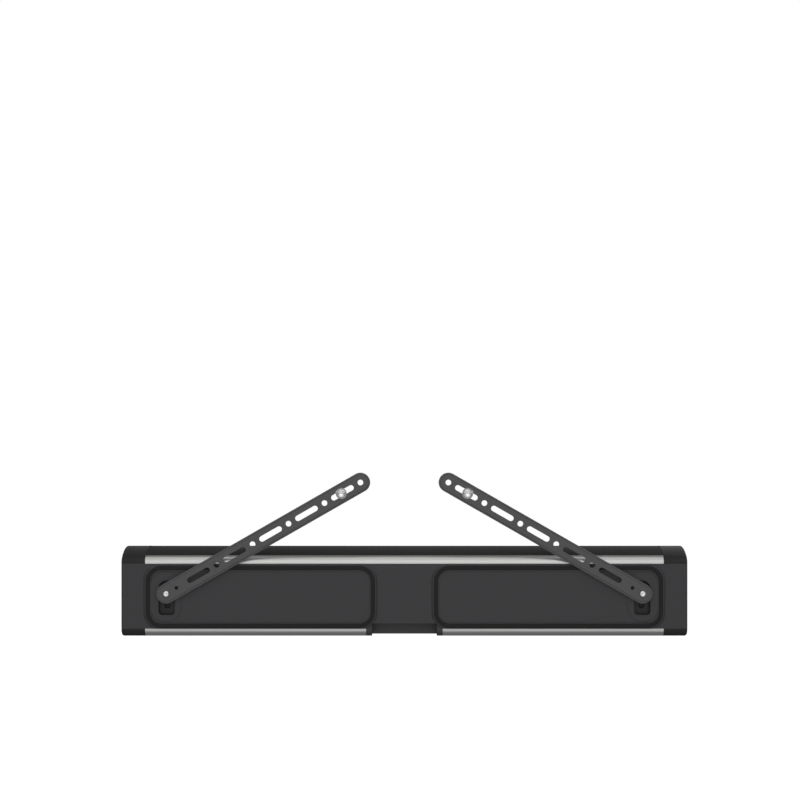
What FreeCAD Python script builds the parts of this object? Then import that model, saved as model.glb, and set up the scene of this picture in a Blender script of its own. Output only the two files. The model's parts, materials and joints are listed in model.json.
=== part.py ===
"""Soundbar that hangs under a television on two slotted arms, as separate pieces.

X runs along the bar, to the right as seen from its front. The front faces -Y and +Z is up.
Depths are measured forwards from the plane of the bar's back, so a depth d lies at Y = -d.
The pieces are drawn with the underside at Z = 0 and saved with the origin midway between
the two television screws, in the plane of the bar's back.
"""
import FreeCAD, Part
import math
import os

V = FreeCAD.Vector

# The bar's outside, in millimetres
bar_length = 900.0
bar_height = 140.0
bar_depth = 85.0
crown_rise = 11.6           # height of the rounded top above the back's upper edge
front_radius = 600.0        # the front face bulges gently
lower_front_radius = 22.0
upper_front_radius = 26.0
end_round = 4.0
cap_length = 38.0
trim_height = 12.6
trim_wall = 1.8
panel_wall = 3.0
housing_wall = 3.0
cap_wall = 3.5
cloth_thickness = 0.8
frame_wall = 2.0
frame_gap = 0.2

# Rear panel: two raised foot pads with rubber rings, and a keyhole at the outer end of each
ring_length = 357.0         # between the middles of the ring's two ends
ring_height = 92.0
ring_radius = 21.6
ring_width = 6.8
ring_centre_x = 228.6
ring_centre_z = 63.6
ring_proud = 1.3
ring_groove = 1.6
pad_height = 3.0
pad_rim = 1.4
pad_flank = 2.6
pad_hollow = 1.4
boss_width = 49.0
boss_height = 79.0
boss_outset = 1.5
recess_width = 26.0
recess_height = 55.0
recess_radius = 6.0
recess_depth = 9.0
recess_drop = 5.4           # of the recess's round top, so that the pivot sits near its upper end
keyhole_travel = 20.0
keyhole_plate_wall = 2.0
keyhole_space = 5.0
keyhole_ledge = 3.0
cup_wall = 2.5

# Arms and the parts that hang the bar on them
arm_pitch = 354.5           # between the pivot and the hole at the far end
arm_screw_offset = 2.14     # television screw from the middle of the arm's last slot, towards the pivot
arm_width = 31.0
arm_ledge = 3.2
arm_wall = 2.5
arm_step = 1.5
arm_gap = 6.0               # from the bar's back to the arm
arm_slot_length = 40.0
arm_slot_width = 8.8
arm_slot_count = 5
arm_slot_pitch = 65.6
arm_hole_radius = 4.5
arm_small_hole_radius = 3.0
arm_small_hole_x = 18.8
arm_rim = 2.3
pivot_half_spacing = 377.3
pivot_z = 69.0
shoulder_radius = 3.0
neck_radius = 2.5
collar_radius = 9.0
hook_radius = 4.3
hook_thickness = 2.0
pivot_thread_radius = 2.0
pivot_thread_length = 8.0
pivot_head_radius = 4.75
pivot_head_height = 2.8
tv_screw_spacing = 200.0
tv_stud_radius = 4.0
tv_stud_length = 14.0
tv_shank_radius = 3.7
tv_head_radius = 6.8
tv_head_height = 4.0
tv_socket_radius = 3.4
tv_washer_radius = 8.8
tv_washer_thickness = 1.6
tv_spacer_radius = 8.0

# Cable bay in the lower back edge, with the sockets in its ceiling
bay_half_width = 51.6
bay_height = 21.0
bay_depth = 38.0
bay_wall = 2.4
bay_cheek = 9.2
bay_corner = 3.6
socket_wall = 1.4

# Drivers, on a baffle behind the grille
baffle_depth = 61.0
baffle_wall = 5.0
gasket_thickness = 1.0
flange_width = 5.0
driver_z = 63.0
woofer_radius = 44.0
woofer_seat_width = 4.5     # of the basket's flange on the baffle
woofer_edge_width = 8.5     # from the cone to the hole in the baffle
woofer_flange = 3.0
woofer_frame_depth = 24.0
coil_radius = 9.0
magnet_radius = 28.0
magnet_depth = 17.0
tweeter_end_gap = 34.0      # from the outer tweeter's middle to the end cap
tweeter_radius = 25.0
tweeter_hole_radius = 20.5
dome_radius = 12.4
driver_screw_radius = 1.6

# Buttons on the right-hand end cap
button_radius = 5.0
button_pitch = 15.0
button_travel = 0.6
button_depth = 44.0
button_middle_z = 66.0
button_sink = 0.3
light_radius = 1.5
switch_height = 4.5

# Circuit boards and the small screws, with what they go into
board_wall = 1.6
main_board_post_x = 92.0
supply_post_x = (134.0, 204.0)
board_post_z = (50.0, 98.0)
board_low = 42.0
board_high = 112.0
board_edge = 8.0
post_length = 5.0
post_radius = 3.5
screw_head_radius = 2.8
screw_head_height = 1.2
screw_radius = 1.5
board_screw_length = 5.5
ledge_width = 12.0

# Clearances
fit_gap = 0.1
running_gap = 0.05
seat_gap = 0.05

# Places that follow from the sizes above
half_length = bar_length / 2
cap_x = half_length - cap_length
back_height = bar_height - crown_rise
panel_low = trim_height
panel_high = back_height - trim_height
skin = cloth_thickness + frame_wall + frame_gap
ledge_back = skin + housing_wall
baffle_front = baffle_depth + baffle_wall
housing_front = baffle_depth - gasket_thickness
board_depth = panel_wall + post_length
arm_reach = arm_pitch - arm_slot_pitch / 2 - arm_screw_offset
arm_run = pivot_half_spacing - tv_screw_spacing / 2
arm_angle = math.degrees(math.acos(arm_run / arm_reach))
tv_screw_z = pivot_z + math.sqrt(arm_reach ** 2 - arm_run ** 2)
arm_back = arm_gap + arm_wall + arm_step
arm_seat = arm_gap + arm_step
keyhole_plate_depth = recess_depth - pad_height
woofer_hole_radius = woofer_radius - woofer_seat_width
cone_radius = woofer_hole_radius - woofer_edge_width
tweeter_x = cap_x - tweeter_end_gap
driver_gap = (tweeter_x - 2 * tweeter_radius - 6 * woofer_radius) / 4
woofer_pitch = 2 * woofer_radius + driver_gap
woofer_first_x = tweeter_radius + driver_gap + woofer_radius
woofer_x = sorted(side * (woofer_first_x + i * woofer_pitch) for side in (-1, 1) for i in range(3))
button_z = {
    "volume_up_button": button_middle_z + button_pitch,
    "play_button": button_middle_z,
    "volume_down_button": button_middle_z - button_pitch,
}


# ---- Helpers ----

def block(x0, x1, d0, d1, z0, z1):
    """Box between two lengths, two depths and two heights."""
    return Part.makeBox(x1 - x0, d1 - d0, z1 - z0, V(x0, -d1, z0))


def rod(radius, x, z, d0, d1):
    """Cylinder across the bar, from depth d0 to depth d1."""
    return Part.makeCylinder(radius, d1 - d0, V(x, -d1, z), V(0, 1, 0))


def tube(outer, inner, x, z, d0, d1):
    return rod(outer, x, z, d0, d1).cut(rod(inner, x, z, d0, d1))


def rounded_wire(x, z, width, height, radius, d):
    """Rounded rectangle at depth d, centred on x and z."""
    radius = min(radius, width / 2 - 0.01, height / 2 - 0.01)
    half_w = width / 2 - radius
    half_h = height / 2 - radius
    edges = []
    corners = [(half_w, half_h, 0), (-half_w, half_h, 90), (-half_w, -half_h, 180), (half_w, -half_h, 270)]
    arcs = []
    for cx, cz, start in corners:
        points = []
        for turn in (0, 45, 90):
            angle = math.radians(start + turn)
            points.append(V(x + cx + radius * math.cos(angle), -d, z + cz + radius * math.sin(angle)))
        arcs.append(points)
    for i, points in enumerate(arcs):
        edges.append(Part.Arc(*points).toShape())
        edges.append(Part.LineSegment(points[2], arcs[(i + 1) % 4][0]).toShape())
    return Part.Wire(edges)


def slab(x, z, width, height, radius, d0, d1):
    """Rounded rectangle between two depths."""
    return Part.Face(rounded_wire(x, z, width, height, radius, d1)).extrude(V(0, d1 - d0, 0))


def turned(points, x=0.0, z=0.0):
    """Solid of revolution from (radius, depth) points, about an axis across the bar."""
    corners = [V(r, -d, 0) for r, d in points]
    face = Part.Face(Part.makePolygon(corners + corners[:1]))
    solid = face.revolve(V(0, 0, 0), V(0, 1, 0), 360)
    return solid.translated(V(x, 0, z))


def joined(shapes):
    """One solid from shapes that overlap."""
    result = shapes[0]
    for shape in shapes[1:]:
        result = result.fuse(shape)
    return result.removeSplitter()


def without(shape, cuts):
    for cut in cuts:
        shape = shape.cut(cut)
    return shape


def in_lengths(shape, half):
    """The shape as three solids that meet at -half and half along the bar."""
    far = bar_length
    spans = ((-far, -half), (-half, half), (half, far))
    return [shape.common(block(x0, x1, -far, far, -far, far)) for x0, x1 in spans]


def mirrored(shape):
    return shape.mirror(V(0, 0, 0), V(1, 0, 0))


def save(name, shapes):
    """Write one sub-part, moved from the drawing position to the hanging position."""
    if not isinstance(shapes, list):
        shapes = [shapes]
    solids = [solid for shape in shapes for solid in shape.Solids]
    moved = [solid.translated(V(0, 0, -tv_screw_z)) for solid in solids]
    shape = moved[0] if len(moved) == 1 else Part.makeCompound(moved)
    shape.exportStep("parts/" + name + ".step")


# ---- Section of the bar ----

def front_tilt():
    """Half the angle that the bulged front face turns through."""
    rounds = lower_front_radius + upper_front_radius
    return math.asin((bar_height - rounds) / (2 * front_radius - rounds))


def crown_slope():
    """Angle at which the upper trim hands over to the rounded top, and the trim's radius."""
    slope = math.radians(30)
    for _ in range(40):
        trim_radius = trim_height / math.cos(slope)
        reach = crown_end_depth() - trim_radius * (1 - math.sin(slope))
        slope = 2 * math.atan(crown_rise / reach)
    return slope, trim_height / math.cos(slope)


def lower_front_start():
    """Depth at which the flat underside ends."""
    tilt = front_tilt()
    bulge = front_radius * (1 - math.cos(tilt))
    return bar_depth - lower_front_radius * math.cos(tilt) - bulge


def top_trim_reach():
    slope, trim_radius = crown_slope()
    return trim_radius * (1 - math.sin(slope))


def outline(inset):
    """The bar's section as a closed wire at X = 0, moved inwards by inset."""
    tilt = front_tilt()
    slope, trim_radius = crown_slope()
    reach = crown_end_depth() - top_trim_reach()
    crown_radius = reach / math.sin(slope)
    quarter = math.pi / 2
    moves = [
        ("line", lower_front_start() - trim_height, 0),
        ("arc", lower_front_radius, quarter - tilt),
        ("arc", front_radius, 2 * tilt),
        ("arc", upper_front_radius, quarter - tilt),
        ("arc", crown_radius, slope),
        ("arc", trim_radius, quarter - slope),
        ("line", panel_high - panel_low, 0),
        ("arc", trim_height, quarter),
    ]
    first = (trim_height, inset)
    depth, height = first
    heading = 0.0
    edges = []
    for i, (kind, size, turn) in enumerate(moves):
        start = V(0, -depth, height)
        last = i == len(moves) - 1
        if kind == "line":
            depth += size * math.cos(heading)
            height += size * math.sin(heading)
            edges.append(Part.LineSegment(start, V(0, -depth, height)).toShape())
            continue
        radius = size - inset
        centre = (depth - radius * math.sin(heading), height + radius * math.cos(heading))
        ends = []
        for share in (0.5, 1.0):
            angle = heading + share * turn
            ends.append((centre[0] + radius * math.sin(angle), centre[1] - radius * math.cos(angle)))
        depth, height = first if last else ends[1]
        heading += turn
        middle = V(0, -ends[0][0], ends[0][1])
        edges.append(Part.Arc(start, middle, V(0, -depth, height)).toShape())
    return Part.Wire(edges)


def crown_end_depth():
    """Depth of the highest point of the section."""
    tilt = front_tilt()
    return lower_front_start() + (lower_front_radius - upper_front_radius) * math.cos(tilt)


def section(inset, x0, x1):
    """The bar's section, moved inwards by inset, between two lengths."""
    face = Part.Face(outline(inset))
    return face.extrude(V(x1 - x0, 0, 0)).translated(V(x0, 0, 0))


def envelope():
    """The whole bar with the edges of its two ends rounded."""
    solid = section(0, -half_length, half_length)
    edges = []
    for edge in solid.Edges:
        box = edge.BoundBox
        if box.XLength < 1e-6 and abs(abs(box.XMin) - half_length) < 1e-6:
            edges.append(edge)
    return solid.makeFillet(end_round, edges)


def panel_zone(x0, x1):
    """The space that the rear panel fills between the trims."""
    return block(x0, x1, 0, panel_wall, panel_low, panel_high)


def upper_trim_zone(x0, x1):
    return block(x0, x1, 0, top_trim_reach(), panel_high, bar_height)


def lower_trim_zone(x0, x1):
    return block(x0, x1, 0, trim_height, 0, panel_low)


def bay_zone(margin):
    """The cable bay's space, grown sideways, forwards and upwards by margin."""
    half = bay_half_width + margin
    return block(-half, half, -pad_height - 1, bay_depth + margin, -1, bay_height + margin)


# ---- Casing ----

def ring_slab(side, grow, d0, d1):
    """Rounded rectangle that follows a foot ring's middle line, grown by grow all round."""
    return slab(side * ring_centre_x, ring_centre_z, ring_length + 2 * grow, ring_height + 2 * grow,
                ring_radius + grow, d0, d1)


def foot_pad(side):
    """Raised pad with a sloping flank."""
    top = ring_width / 2 + pad_rim
    wires = []
    for grow, depth in ((top + pad_flank, 0), (top, -pad_height)):
        wires.append(rounded_wire(side * ring_centre_x, ring_centre_z, ring_length + 2 * grow,
                                  ring_height + 2 * grow, ring_radius + grow, depth))
    between_trims = block(-half_length, half_length, -pad_height, 0, panel_low, panel_high)
    return Part.makeLoft(wires, True, True).common(between_trims)


def pad_hollow_cut(side):
    """Shallow hollow inside the ring, which leaves the keyhole's boss standing."""
    floor = -pad_height + pad_hollow
    hollow = ring_slab(side, -ring_width / 2 - pad_rim, -pad_height - 1, floor)
    boss = slab(side * (pivot_half_spacing + boss_outset), ring_centre_z, boss_width, boss_height,
                boss_width / 2, -pad_height - 2, floor + 1)
    return hollow.cut(boss)


def ring_groove_cut(side):
    half = ring_width / 2
    outer = ring_slab(side, half, -pad_height - 1, -pad_height + ring_groove)
    return outer.cut(ring_slab(side, -half, -pad_height - 2, panel_wall))


def recess_shape(side, shrink, d0, d1):
    """Keyhole recess: round at the top, nearly square at the bottom."""
    width = recess_width - 2 * shrink
    top_z = pivot_z + recess_width / 2 - recess_drop
    low_z = top_z + recess_width / 2 - recess_height + shrink
    x = side * pivot_half_spacing
    lower = slab(x, (low_z + top_z) / 2, width, top_z - low_z, recess_radius - shrink / 2, d0, d1)
    upper = rod(width / 2, x, top_z, d0, d1)
    filler = block(x - width / 2, x + width / 2, d0, d1, top_z - recess_radius, top_z)
    return joined([lower, filler, upper])


def keyhole_cup(side):
    """Closed cup behind the keyhole, inside the bar."""
    deep = keyhole_plate_depth + keyhole_plate_wall + keyhole_space + cup_wall
    return recess_shape(side, -cup_wall, panel_wall - 1, deep)


def keyhole_cuts(side):
    plate_back = keyhole_plate_depth + keyhole_plate_wall
    wide = recess_shape(side, 0, -pad_height - 1, plate_back)
    narrow = recess_shape(side, keyhole_ledge, plate_back - 1, plate_back + keyhole_space)
    return [wide, narrow]


def panel_screw_places():
    """Screws under the foot rings, along their two long sides."""
    spots = []
    for side in (-1, 1):
        for share in (-0.36, 0, 0.36):
            x = side * ring_centre_x + share * ring_length
            for end in (-0.5, 0.5):
                spots.append((x, ring_centre_z + end * ring_height))
    return spots


def board_posts():
    """Places of the posts that hold the two circuit boards."""
    return [(x, z) for x in (-main_board_post_x, main_board_post_x) + supply_post_x for z in board_post_z]


def rear_panel(whole):
    panel = whole.common(panel_zone(-half_length, half_length))
    adds = []
    cuts = [bay_zone(0)]
    for side in (-1, 1):
        adds += [foot_pad(side), keyhole_cup(side)]
        cuts += [pad_hollow_cut(side), ring_groove_cut(side)] + keyhole_cuts(side)
    for x, z in board_posts():
        adds.append(rod(post_radius, x, z, panel_wall - 1, panel_wall + post_length))
        cuts.append(rod(screw_radius, x, z, panel_wall - 0.5, panel_wall + post_length))
    groove_floor = -pad_height + ring_groove
    head_end = groove_floor + screw_head_height
    for x, z in panel_screw_places():
        cuts.append(rod(screw_head_radius + fit_gap, x, z, groove_floor - 0.5, head_end))
        cuts.append(rod(screw_radius + fit_gap, x, z, groove_floor, panel_wall + 1))
    return without(joined([panel] + adds), cuts)


def foot_ring(side):
    half = ring_width / 2 - running_gap
    top = -pad_height - ring_proud
    floor = -pad_height + ring_groove
    ring = ring_slab(side, half, top, floor).cut(ring_slab(side, -half, top - 1, floor + 1))
    edges = []
    for edge in ring.Edges:
        box = edge.BoundBox
        if abs(box.YMin + top) < 1e-6 and box.YLength < 1e-6:
            edges.append(edge)
    return ring.makeFillet(0.9, edges)


def keyhole_plate(side):
    x = side * pivot_half_spacing
    back = keyhole_plate_depth + keyhole_plate_wall
    plate = recess_shape(side, running_gap, keyhole_plate_depth, back)
    slot_width = 2 * (neck_radius + fit_gap)
    slot = slab(x, pivot_z - keyhole_travel / 2, slot_width, keyhole_travel + slot_width, slot_width / 2,
                keyhole_plate_depth - 1, back + 1)
    entry = rod(hook_radius + 3 * fit_gap, x, pivot_z - keyhole_travel, keyhole_plate_depth - 1, back + 1)
    return without(plate, [slot, entry])


def partition_places():
    """Walls between the drivers' chambers, midway between neighbours."""
    first = woofer_first_x + woofer_pitch / 2
    return [side * x for side in (-1, 1) for x in (first, first + woofer_pitch, outer_partition_x())]


def outer_partition_x():
    return tweeter_x - tweeter_radius - driver_gap / 2


def main_housing():
    """Trough that carries everything: open to the back panel and to the baffle."""
    end = cap_x - fit_gap
    body = section(skin, -end, end)
    under = section(0, -end, end).common(
        block(-end, end, trim_height, lower_front_start() - 1, 0, skin + 1))
    trims = section(trim_wall, -end, end).common(joined_zone(end))
    body = joined([body, trims, under])
    cavity = section(skin + housing_wall, -end + housing_wall, end - housing_wall)
    hollow_z0 = skin + housing_wall + flange_width
    hollow_z1 = panel_high - 2
    keep_front = block(-end, end, housing_front - housing_wall, bar_depth, -1, bar_height)
    cavity = cavity.cut(keep_front)
    front_window = block(-end + housing_wall + flange_width, end - housing_wall - flange_width,
                         housing_front - housing_wall - 1, housing_front + 1, hollow_z0, hollow_z1)
    front_off = block(-end - 1, end + 1, housing_front, bar_depth + 1, -1, bar_height + 1)
    back_window = block(-end + housing_wall, end - housing_wall, -1, ledge_back + 1,
                        panel_low + ledge_width / 2 + 1, panel_high - ledge_width)
    body = without(body, [cavity, front_off, front_window, panel_zone(-half_length, half_length),
                          back_window, bay_zone(bay_wall + fit_gap)])
    body = body.fuse(partitions(end)).removeSplitter()
    holes = [rod(screw_radius, x, z, panel_wall - 1, ledge_back + 1) for x, z in panel_screw_places()]
    return without(body, holes)


def joined_zone(end):
    return upper_trim_zone(-end, end).fuse(lower_trim_zone(-end, end))


def partitions(end):
    """Chamber walls, cut to the inside of the trough and clear of the electronics."""
    walls = []
    inside = section(skin + 0.5, -end, end)
    for x in partition_places():
        wall = block(x - 1.2, x + 1.2, 24, housing_front, 0, bar_height)
        walls.append(wall.common(inside))
    return Part.makeCompound(walls)


def cable_bay():
    """Black tub in the lower back edge, with a socket opening for each plug in its ceiling."""
    half = bay_half_width
    outer = half + bay_wall
    shell = block(-outer, outer, panel_wall + seat_gap, bay_depth + bay_wall, 0, bay_height + bay_wall)
    shell = shell.common(section(0, -outer, outer))
    cheek = section(0, -half - bay_cheek, half + bay_cheek).common(
        lower_trim_zone(-half - bay_cheek, half + bay_cheek))
    cheek = cheek.cut(section(trim_wall, -half_length, half_length))
    tub = shell.fuse(cheek).cut(block(-half, half, -1, bay_depth, -1, bay_height))
    corners = []
    for side in (-1, 1):
        wedge = Part.Face(Part.makePolygon([V(side * half, 0, -1), V(side * (half + bay_corner), 0, -1),
                                            V(side * half, 0, bay_corner), V(side * half, 0, -1)]))
        corners.append(wedge.extrude(V(0, -trim_height, 0)).translated(V(0, 1, 0)))
    holes = []
    roof = bay_height + bay_wall
    for x, d, width, thick, _ in sockets():
        side = width / 2 + fit_gap
        deep = thick / 2 + fit_gap
        holes.append(block(x - side, x + side, d - deep, d + deep, bay_height - 1, roof + 1))
    return without(tub, corners + holes).removeSplitter()


def trim(x0, x1, zone):
    """Rounded aluminium edge strip."""
    return section(0, x0, x1).cut(section(trim_wall, x0 - 1, x1 + 1)).common(zone)


def end_cap(whole, side):
    """Black cap with the rear panel's space cut out of its back."""
    x0, x1 = (cap_x, half_length + 1) if side > 0 else (-half_length - 1, -cap_x)
    cap = whole.common(block(x0, x1, -1, bar_depth + 1, -1, bar_height + 1))
    inner = half_length - cap_wall
    cavity = section(housing_wall, cap_x - 1, inner)
    if side < 0:
        cavity = mirrored(cavity)
    cap = without(cap, [cavity, panel_zone(-half_length - 1, half_length + 1)])
    if side > 0:
        holes = [pin(button_radius + fit_gap, inner - 1, half_length + 1, 0, z) for z in button_z.values()]
        holes.append(pin(light_radius + running_gap, inner - 1, half_length + 1, 0, light_z()))
        posts = [pin(cup_wall, switch_foot(), inner + 1, out, z)
                 for out in (-9, 9) for z in (button_middle_z - 26, light_z() + 4)]
        cap = joined([without(cap, holes)] + posts)
    return cap


def pin(radius, x0, x1, out, z):
    """Cylinder along the bar at the buttons' depth, moved forwards by out."""
    return Part.makeCylinder(radius, x1 - x0, V(x0, -button_depth - out, z), V(1, 0, 0))


def light_z():
    return button_middle_z + 2.4 * button_pitch


# ---- Grille, baffle and drivers ----

def grille_zone(end, tail):
    """What the grille covers: the top, the front and the lower front edge."""
    top_gap = block(-end - 1, end + 1, -1, top_trim_reach() + tail, -1, bar_height + 1)
    under_gap = block(-end - 1, end + 1, -1, lower_front_start() + tail, -1, bar_height / 2)
    return [top_gap, under_gap]


def grille_cloth():
    """Stretched cloth skin over the grille frame."""
    end = cap_x - fit_gap
    skin_band = section(0, -end, end).cut(section(cloth_thickness, -end - 1, end + 1))
    return without(skin_band, grille_zone(end, seat_gap))


def peg_places():
    x = partition_places()
    return [(px, pz) for px in x for pz in (skin + housing_wall + 3.5, panel_high)]


def grille_frame():
    """Curved frame with a window in front of each driver, held by pegs in the baffle."""
    end = cap_x - fit_gap
    band = section(cloth_thickness, -end, end).cut(section(cloth_thickness + frame_wall, -end - 1, end + 1))
    band = without(band, grille_zone(end, seat_gap))
    windows = []
    for x in woofer_x:
        windows.append(slab(x, driver_z, 2 * woofer_hole_radius + 4, 2 * woofer_hole_radius + 4, 12,
                            baffle_front + 4, bar_depth + 1))
    for x in (-tweeter_x, 0, tweeter_x):
        windows.append(rod(tweeter_radius - 1, x, driver_z, baffle_front + 4, bar_depth + 1))
    inside = section(cloth_thickness + frame_wall / 2, -end, end)
    pegs = [rod(2.5, x, z, baffle_depth + 1, bar_depth).common(inside) for x, z in peg_places()]
    return joined([band.cut(Part.makeCompound(windows))] + pegs)


def baffle_outline(shrink, d0, d1):
    end = cap_x - fit_gap - 3 - shrink
    low = skin + 2 + shrink
    high = back_height - trim_wall - skin - shrink
    return block(-end, end, d0, d1, low, high)


def baffle_screw_places():
    beside_peg = outer_partition_x() - 6.5
    near_end = cap_x - 8
    return [(x, z) for x in (-near_end, -beside_peg, 0, beside_peg, near_end)
            for z in (skin + housing_wall + 3, panel_high - 0.5)]


def baffle_gasket():
    return without(baffle_outline(0.5, housing_front, baffle_depth),
                   [baffle_outline(flange_width + 1.0, housing_front - 1, baffle_depth + 1)])


def baffle():
    board = baffle_outline(0, baffle_depth, baffle_front)
    cuts = [rod(woofer_hole_radius, x, driver_z, baffle_depth - 1, baffle_front + 1) for x in woofer_x]
    cuts += [rod(tweeter_hole_radius, x, driver_z, baffle_depth - 1, baffle_front + 1)
             for x in (-tweeter_x, 0, tweeter_x)]
    cuts += [rod(2.5 + fit_gap, x, z, baffle_depth - 1, baffle_front + 1) for x, z in peg_places()]
    screws = driver_screws() + baffle_screw_places()
    cuts += [rod(driver_screw_radius, x, z, baffle_depth - 1, baffle_front + 1) for x, z in screws]
    return without(board, cuts)


def driver_screws():
    """Places of the screws round each driver."""
    spots = []
    for x in woofer_x:
        for i in range(4):
            angle = math.radians(45 + 90 * i)
            reach = woofer_radius - 2.5
            spots.append((x + reach * math.cos(angle), driver_z + reach * math.sin(angle)))
    for x in (-tweeter_x, 0, tweeter_x):
        for angle in (90, 270):
            spots.append((x, driver_z + (tweeter_radius - 2.2) * math.sin(math.radians(angle))))
    return spots


def screw(x, z, seat, length, head=1.4):
    """Pan-head screw driven from the front at depth seat."""
    return rod(1.9, x, z, seat, seat + head).fuse(rod(driver_screw_radius - 0.1, x, z, seat - length, seat))


def driver_screw_set():
    seat = baffle_front + woofer_flange
    return [screw(x, z, seat, woofer_flange + baffle_wall) for x, z in driver_screws()]


def flange_holes(shape, x_centre, radius):
    cuts = [rod(driver_screw_radius, x, z, baffle_front - 1, baffle_front + 9)
            for x, z in driver_screws() if abs(x - x_centre) < radius]
    return without(shape, cuts)


def woofer_frame(x):
    """Pressed basket with six windows."""
    back = baffle_front - woofer_frame_depth
    front = baffle_front + woofer_flange
    hole = woofer_hole_radius - 0.5
    foot = magnet_radius - 0.5
    basket = turned([(hole - 5, front), (woofer_radius, front), (woofer_radius, baffle_front),
                     (hole, baffle_front), (foot, back), (12, back), (12, back + 2), (foot - 1.3, back + 2),
                     (hole - 2.4, baffle_front - 0.4), (hole - 5, baffle_front + 1)], x, driver_z)
    windows = []
    for turn in (0, 60, 120):
        cut = block(-9, 9, back + 5, baffle_front - 4, -woofer_radius, woofer_radius)
        cut.rotate(V(0, 0, 0), V(0, 1, 0), turn)
        windows.append(cut.translated(V(x, 0, driver_z)))
    return flange_holes(without(basket, windows), x, woofer_radius)


def woofer_magnet(x):
    """Magnet, plates and pole, with the ring-shaped gap for the voice coil."""
    front = baffle_front - woofer_frame_depth
    back = front - magnet_depth
    pole = coil_radius - 0.4
    gap = coil_radius + 1.4
    return turned([(0, back), (magnet_radius, back), (magnet_radius, front), (gap, front), (gap, back + 3),
                   (pole, back + 3), (pole, front + 1), (0, front + 1)], x, driver_z)


def woofer_spider(x):
    d = baffle_front - woofer_frame_depth + 3.5
    return tube(magnet_radius - 1.5, coil_radius + 1.2, x, driver_z, d, d + 0.6)


def woofer_surround(x):
    """Half-roll rubber ring, seated on the basket's flange."""
    seat = baffle_front + woofer_flange
    inner = cone_radius + 0.2
    roll = 3.4
    wall = 0.8
    middle = inner + roll
    low = -seat
    outer = [V(inner, low, 0), V(middle, low - roll, 0), V(middle + roll, low, 0)]
    under = [V(middle + roll - wall, low, 0), V(middle, low - roll + wall, 0), V(inner + wall, low, 0)]
    edges = [Part.Arc(*outer), Part.LineSegment(outer[2], under[0]), Part.Arc(*under),
             Part.LineSegment(under[2], outer[0])]
    face = Part.Face(Part.Wire([edge.toShape() for edge in edges]))
    return face.revolve(V(0, 0, 0), V(0, 1, 0), 360).translated(V(x, 0, driver_z))


def woofer_cone(x):
    """Paper cone with its dust cap and voice coil."""
    edge = baffle_front + woofer_flange
    neck = edge - 15.5
    coil_end = baffle_front - woofer_frame_depth - magnet_depth + 7
    wall = 0.8
    rim = [(cone_radius, edge), (cone_radius, edge - 1)]
    cone = turned(rim + [(coil_radius, neck - 1), (coil_radius, neck)], x, driver_z)
    coil = tube(coil_radius + 0.6, coil_radius, x, driver_z, coil_end, neck)
    cap_r = coil_radius + 4.5
    rise = (edge - neck) * (cap_r - coil_radius) / (cone_radius - coil_radius)
    cap_d = neck + rise
    over = [(cap_r, cap_d), (cap_r * 0.7, cap_d + 2.3), (cap_r * 0.35, cap_d + 3.5), (0, cap_d + 3.9)]
    beneath = [(r, d - wall) for r, d in over[:0:-1]] + [(cap_r - 1.2, cap_d - wall)]
    cap = turned([(cap_r, cap_d - wall)] + over + beneath, x, driver_z)
    return joined([cone, coil, cap])


def tweeter_frame(x):
    front = baffle_front + woofer_flange
    inner = dome_radius + 1.2
    body = turned([(inner, baffle_depth), (tweeter_hole_radius - 0.5, baffle_depth),
                   (tweeter_hole_radius - 0.5, baffle_front), (tweeter_radius, baffle_front),
                   (tweeter_radius, front), (inner + 2.5, front), (inner, front - 2)], x, driver_z)
    return flange_holes(body, x, tweeter_radius)


def tweeter_magnet(x):
    back = baffle_depth - 14
    pole = dome_radius - 1.0
    gap = dome_radius + 1.0
    radius = tweeter_hole_radius - 2
    return turned([(0, back), (radius, back), (radius, baffle_depth), (gap, baffle_depth), (gap, back + 4),
                   (pole, back + 4), (pole, baffle_depth), (0, baffle_depth)], x, driver_z)


def tweeter_dome(x):
    """Silk dome on its voice coil."""
    seat = baffle_front - 1
    wall = 0.5
    rise = 4.0
    steps = 6
    outer = []
    inner = []
    for i in range(steps + 1):
        angle = math.pi / 2 * i / steps
        outer.append((dome_radius * math.cos(angle), seat + rise * math.sin(angle)))
        inner.append(((dome_radius - wall) * math.cos(angle), seat + (rise - wall) * math.sin(angle)))
    outer[-1] = (0, seat + rise)
    inner[-1] = (0, seat + rise - wall)
    coil_end = baffle_depth - 8
    return turned([(dome_radius, coil_end)] + outer + inner[::-1] + [(dome_radius - wall, coil_end)],
                  x, driver_z)


# ---- Electronics ----

def board(places):
    """Circuit board that reaches a little past its outer posts."""
    x0 = min(x for x, z in places) - board_edge
    x1 = max(x for x, z in places) + board_edge
    plate = block(x0, x1, board_depth, board_depth + board_wall, board_low, board_high)
    hole = screw_radius + fit_gap
    return without(plate, [rod(hole, x, z, board_depth - 1, board_depth + 3) for x, z in places])


def main_board():
    """Signal board, with its processors and connectors."""
    top = board_depth + board_wall
    plate = board(board_posts()[:4])
    parts = [block(-78, -54, top, top + 3, 56, 80), block(-44, -30, top, top + 2.2, 52, 66),
             block(58, 82, top, top + 6, 56, 66), block(30, 50, top, top + 2.2, 52, 72)]
    parts += [rod(4, x, 72, top, top + 9) for x in (-20, -8, 4)]
    return joined([plate] + parts)


def amplifier_heatsink():
    """Finned aluminium block on the amplifier."""
    foot = board_depth + board_wall
    fins = [block(-56 + 8 * i, -53.4 + 8 * i, foot + 3, foot + 12, 86, 108) for i in range(15)]
    return joined([block(-58, 61, foot, foot + 3.2, 86, 108)] + fins)


def power_supply():
    """Mains board with its transformer and storage capacitors."""
    top = board_depth + board_wall
    plate = board(board_posts()[4:])
    parts = [block(142, 170, top, top + 12, 60, 86), block(146, 164, top, top + 9, 92, 104)]
    parts += [rod(7, 184, z, top, top + 12) for z in (64, 84)]
    return joined([plate] + parts)


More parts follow.
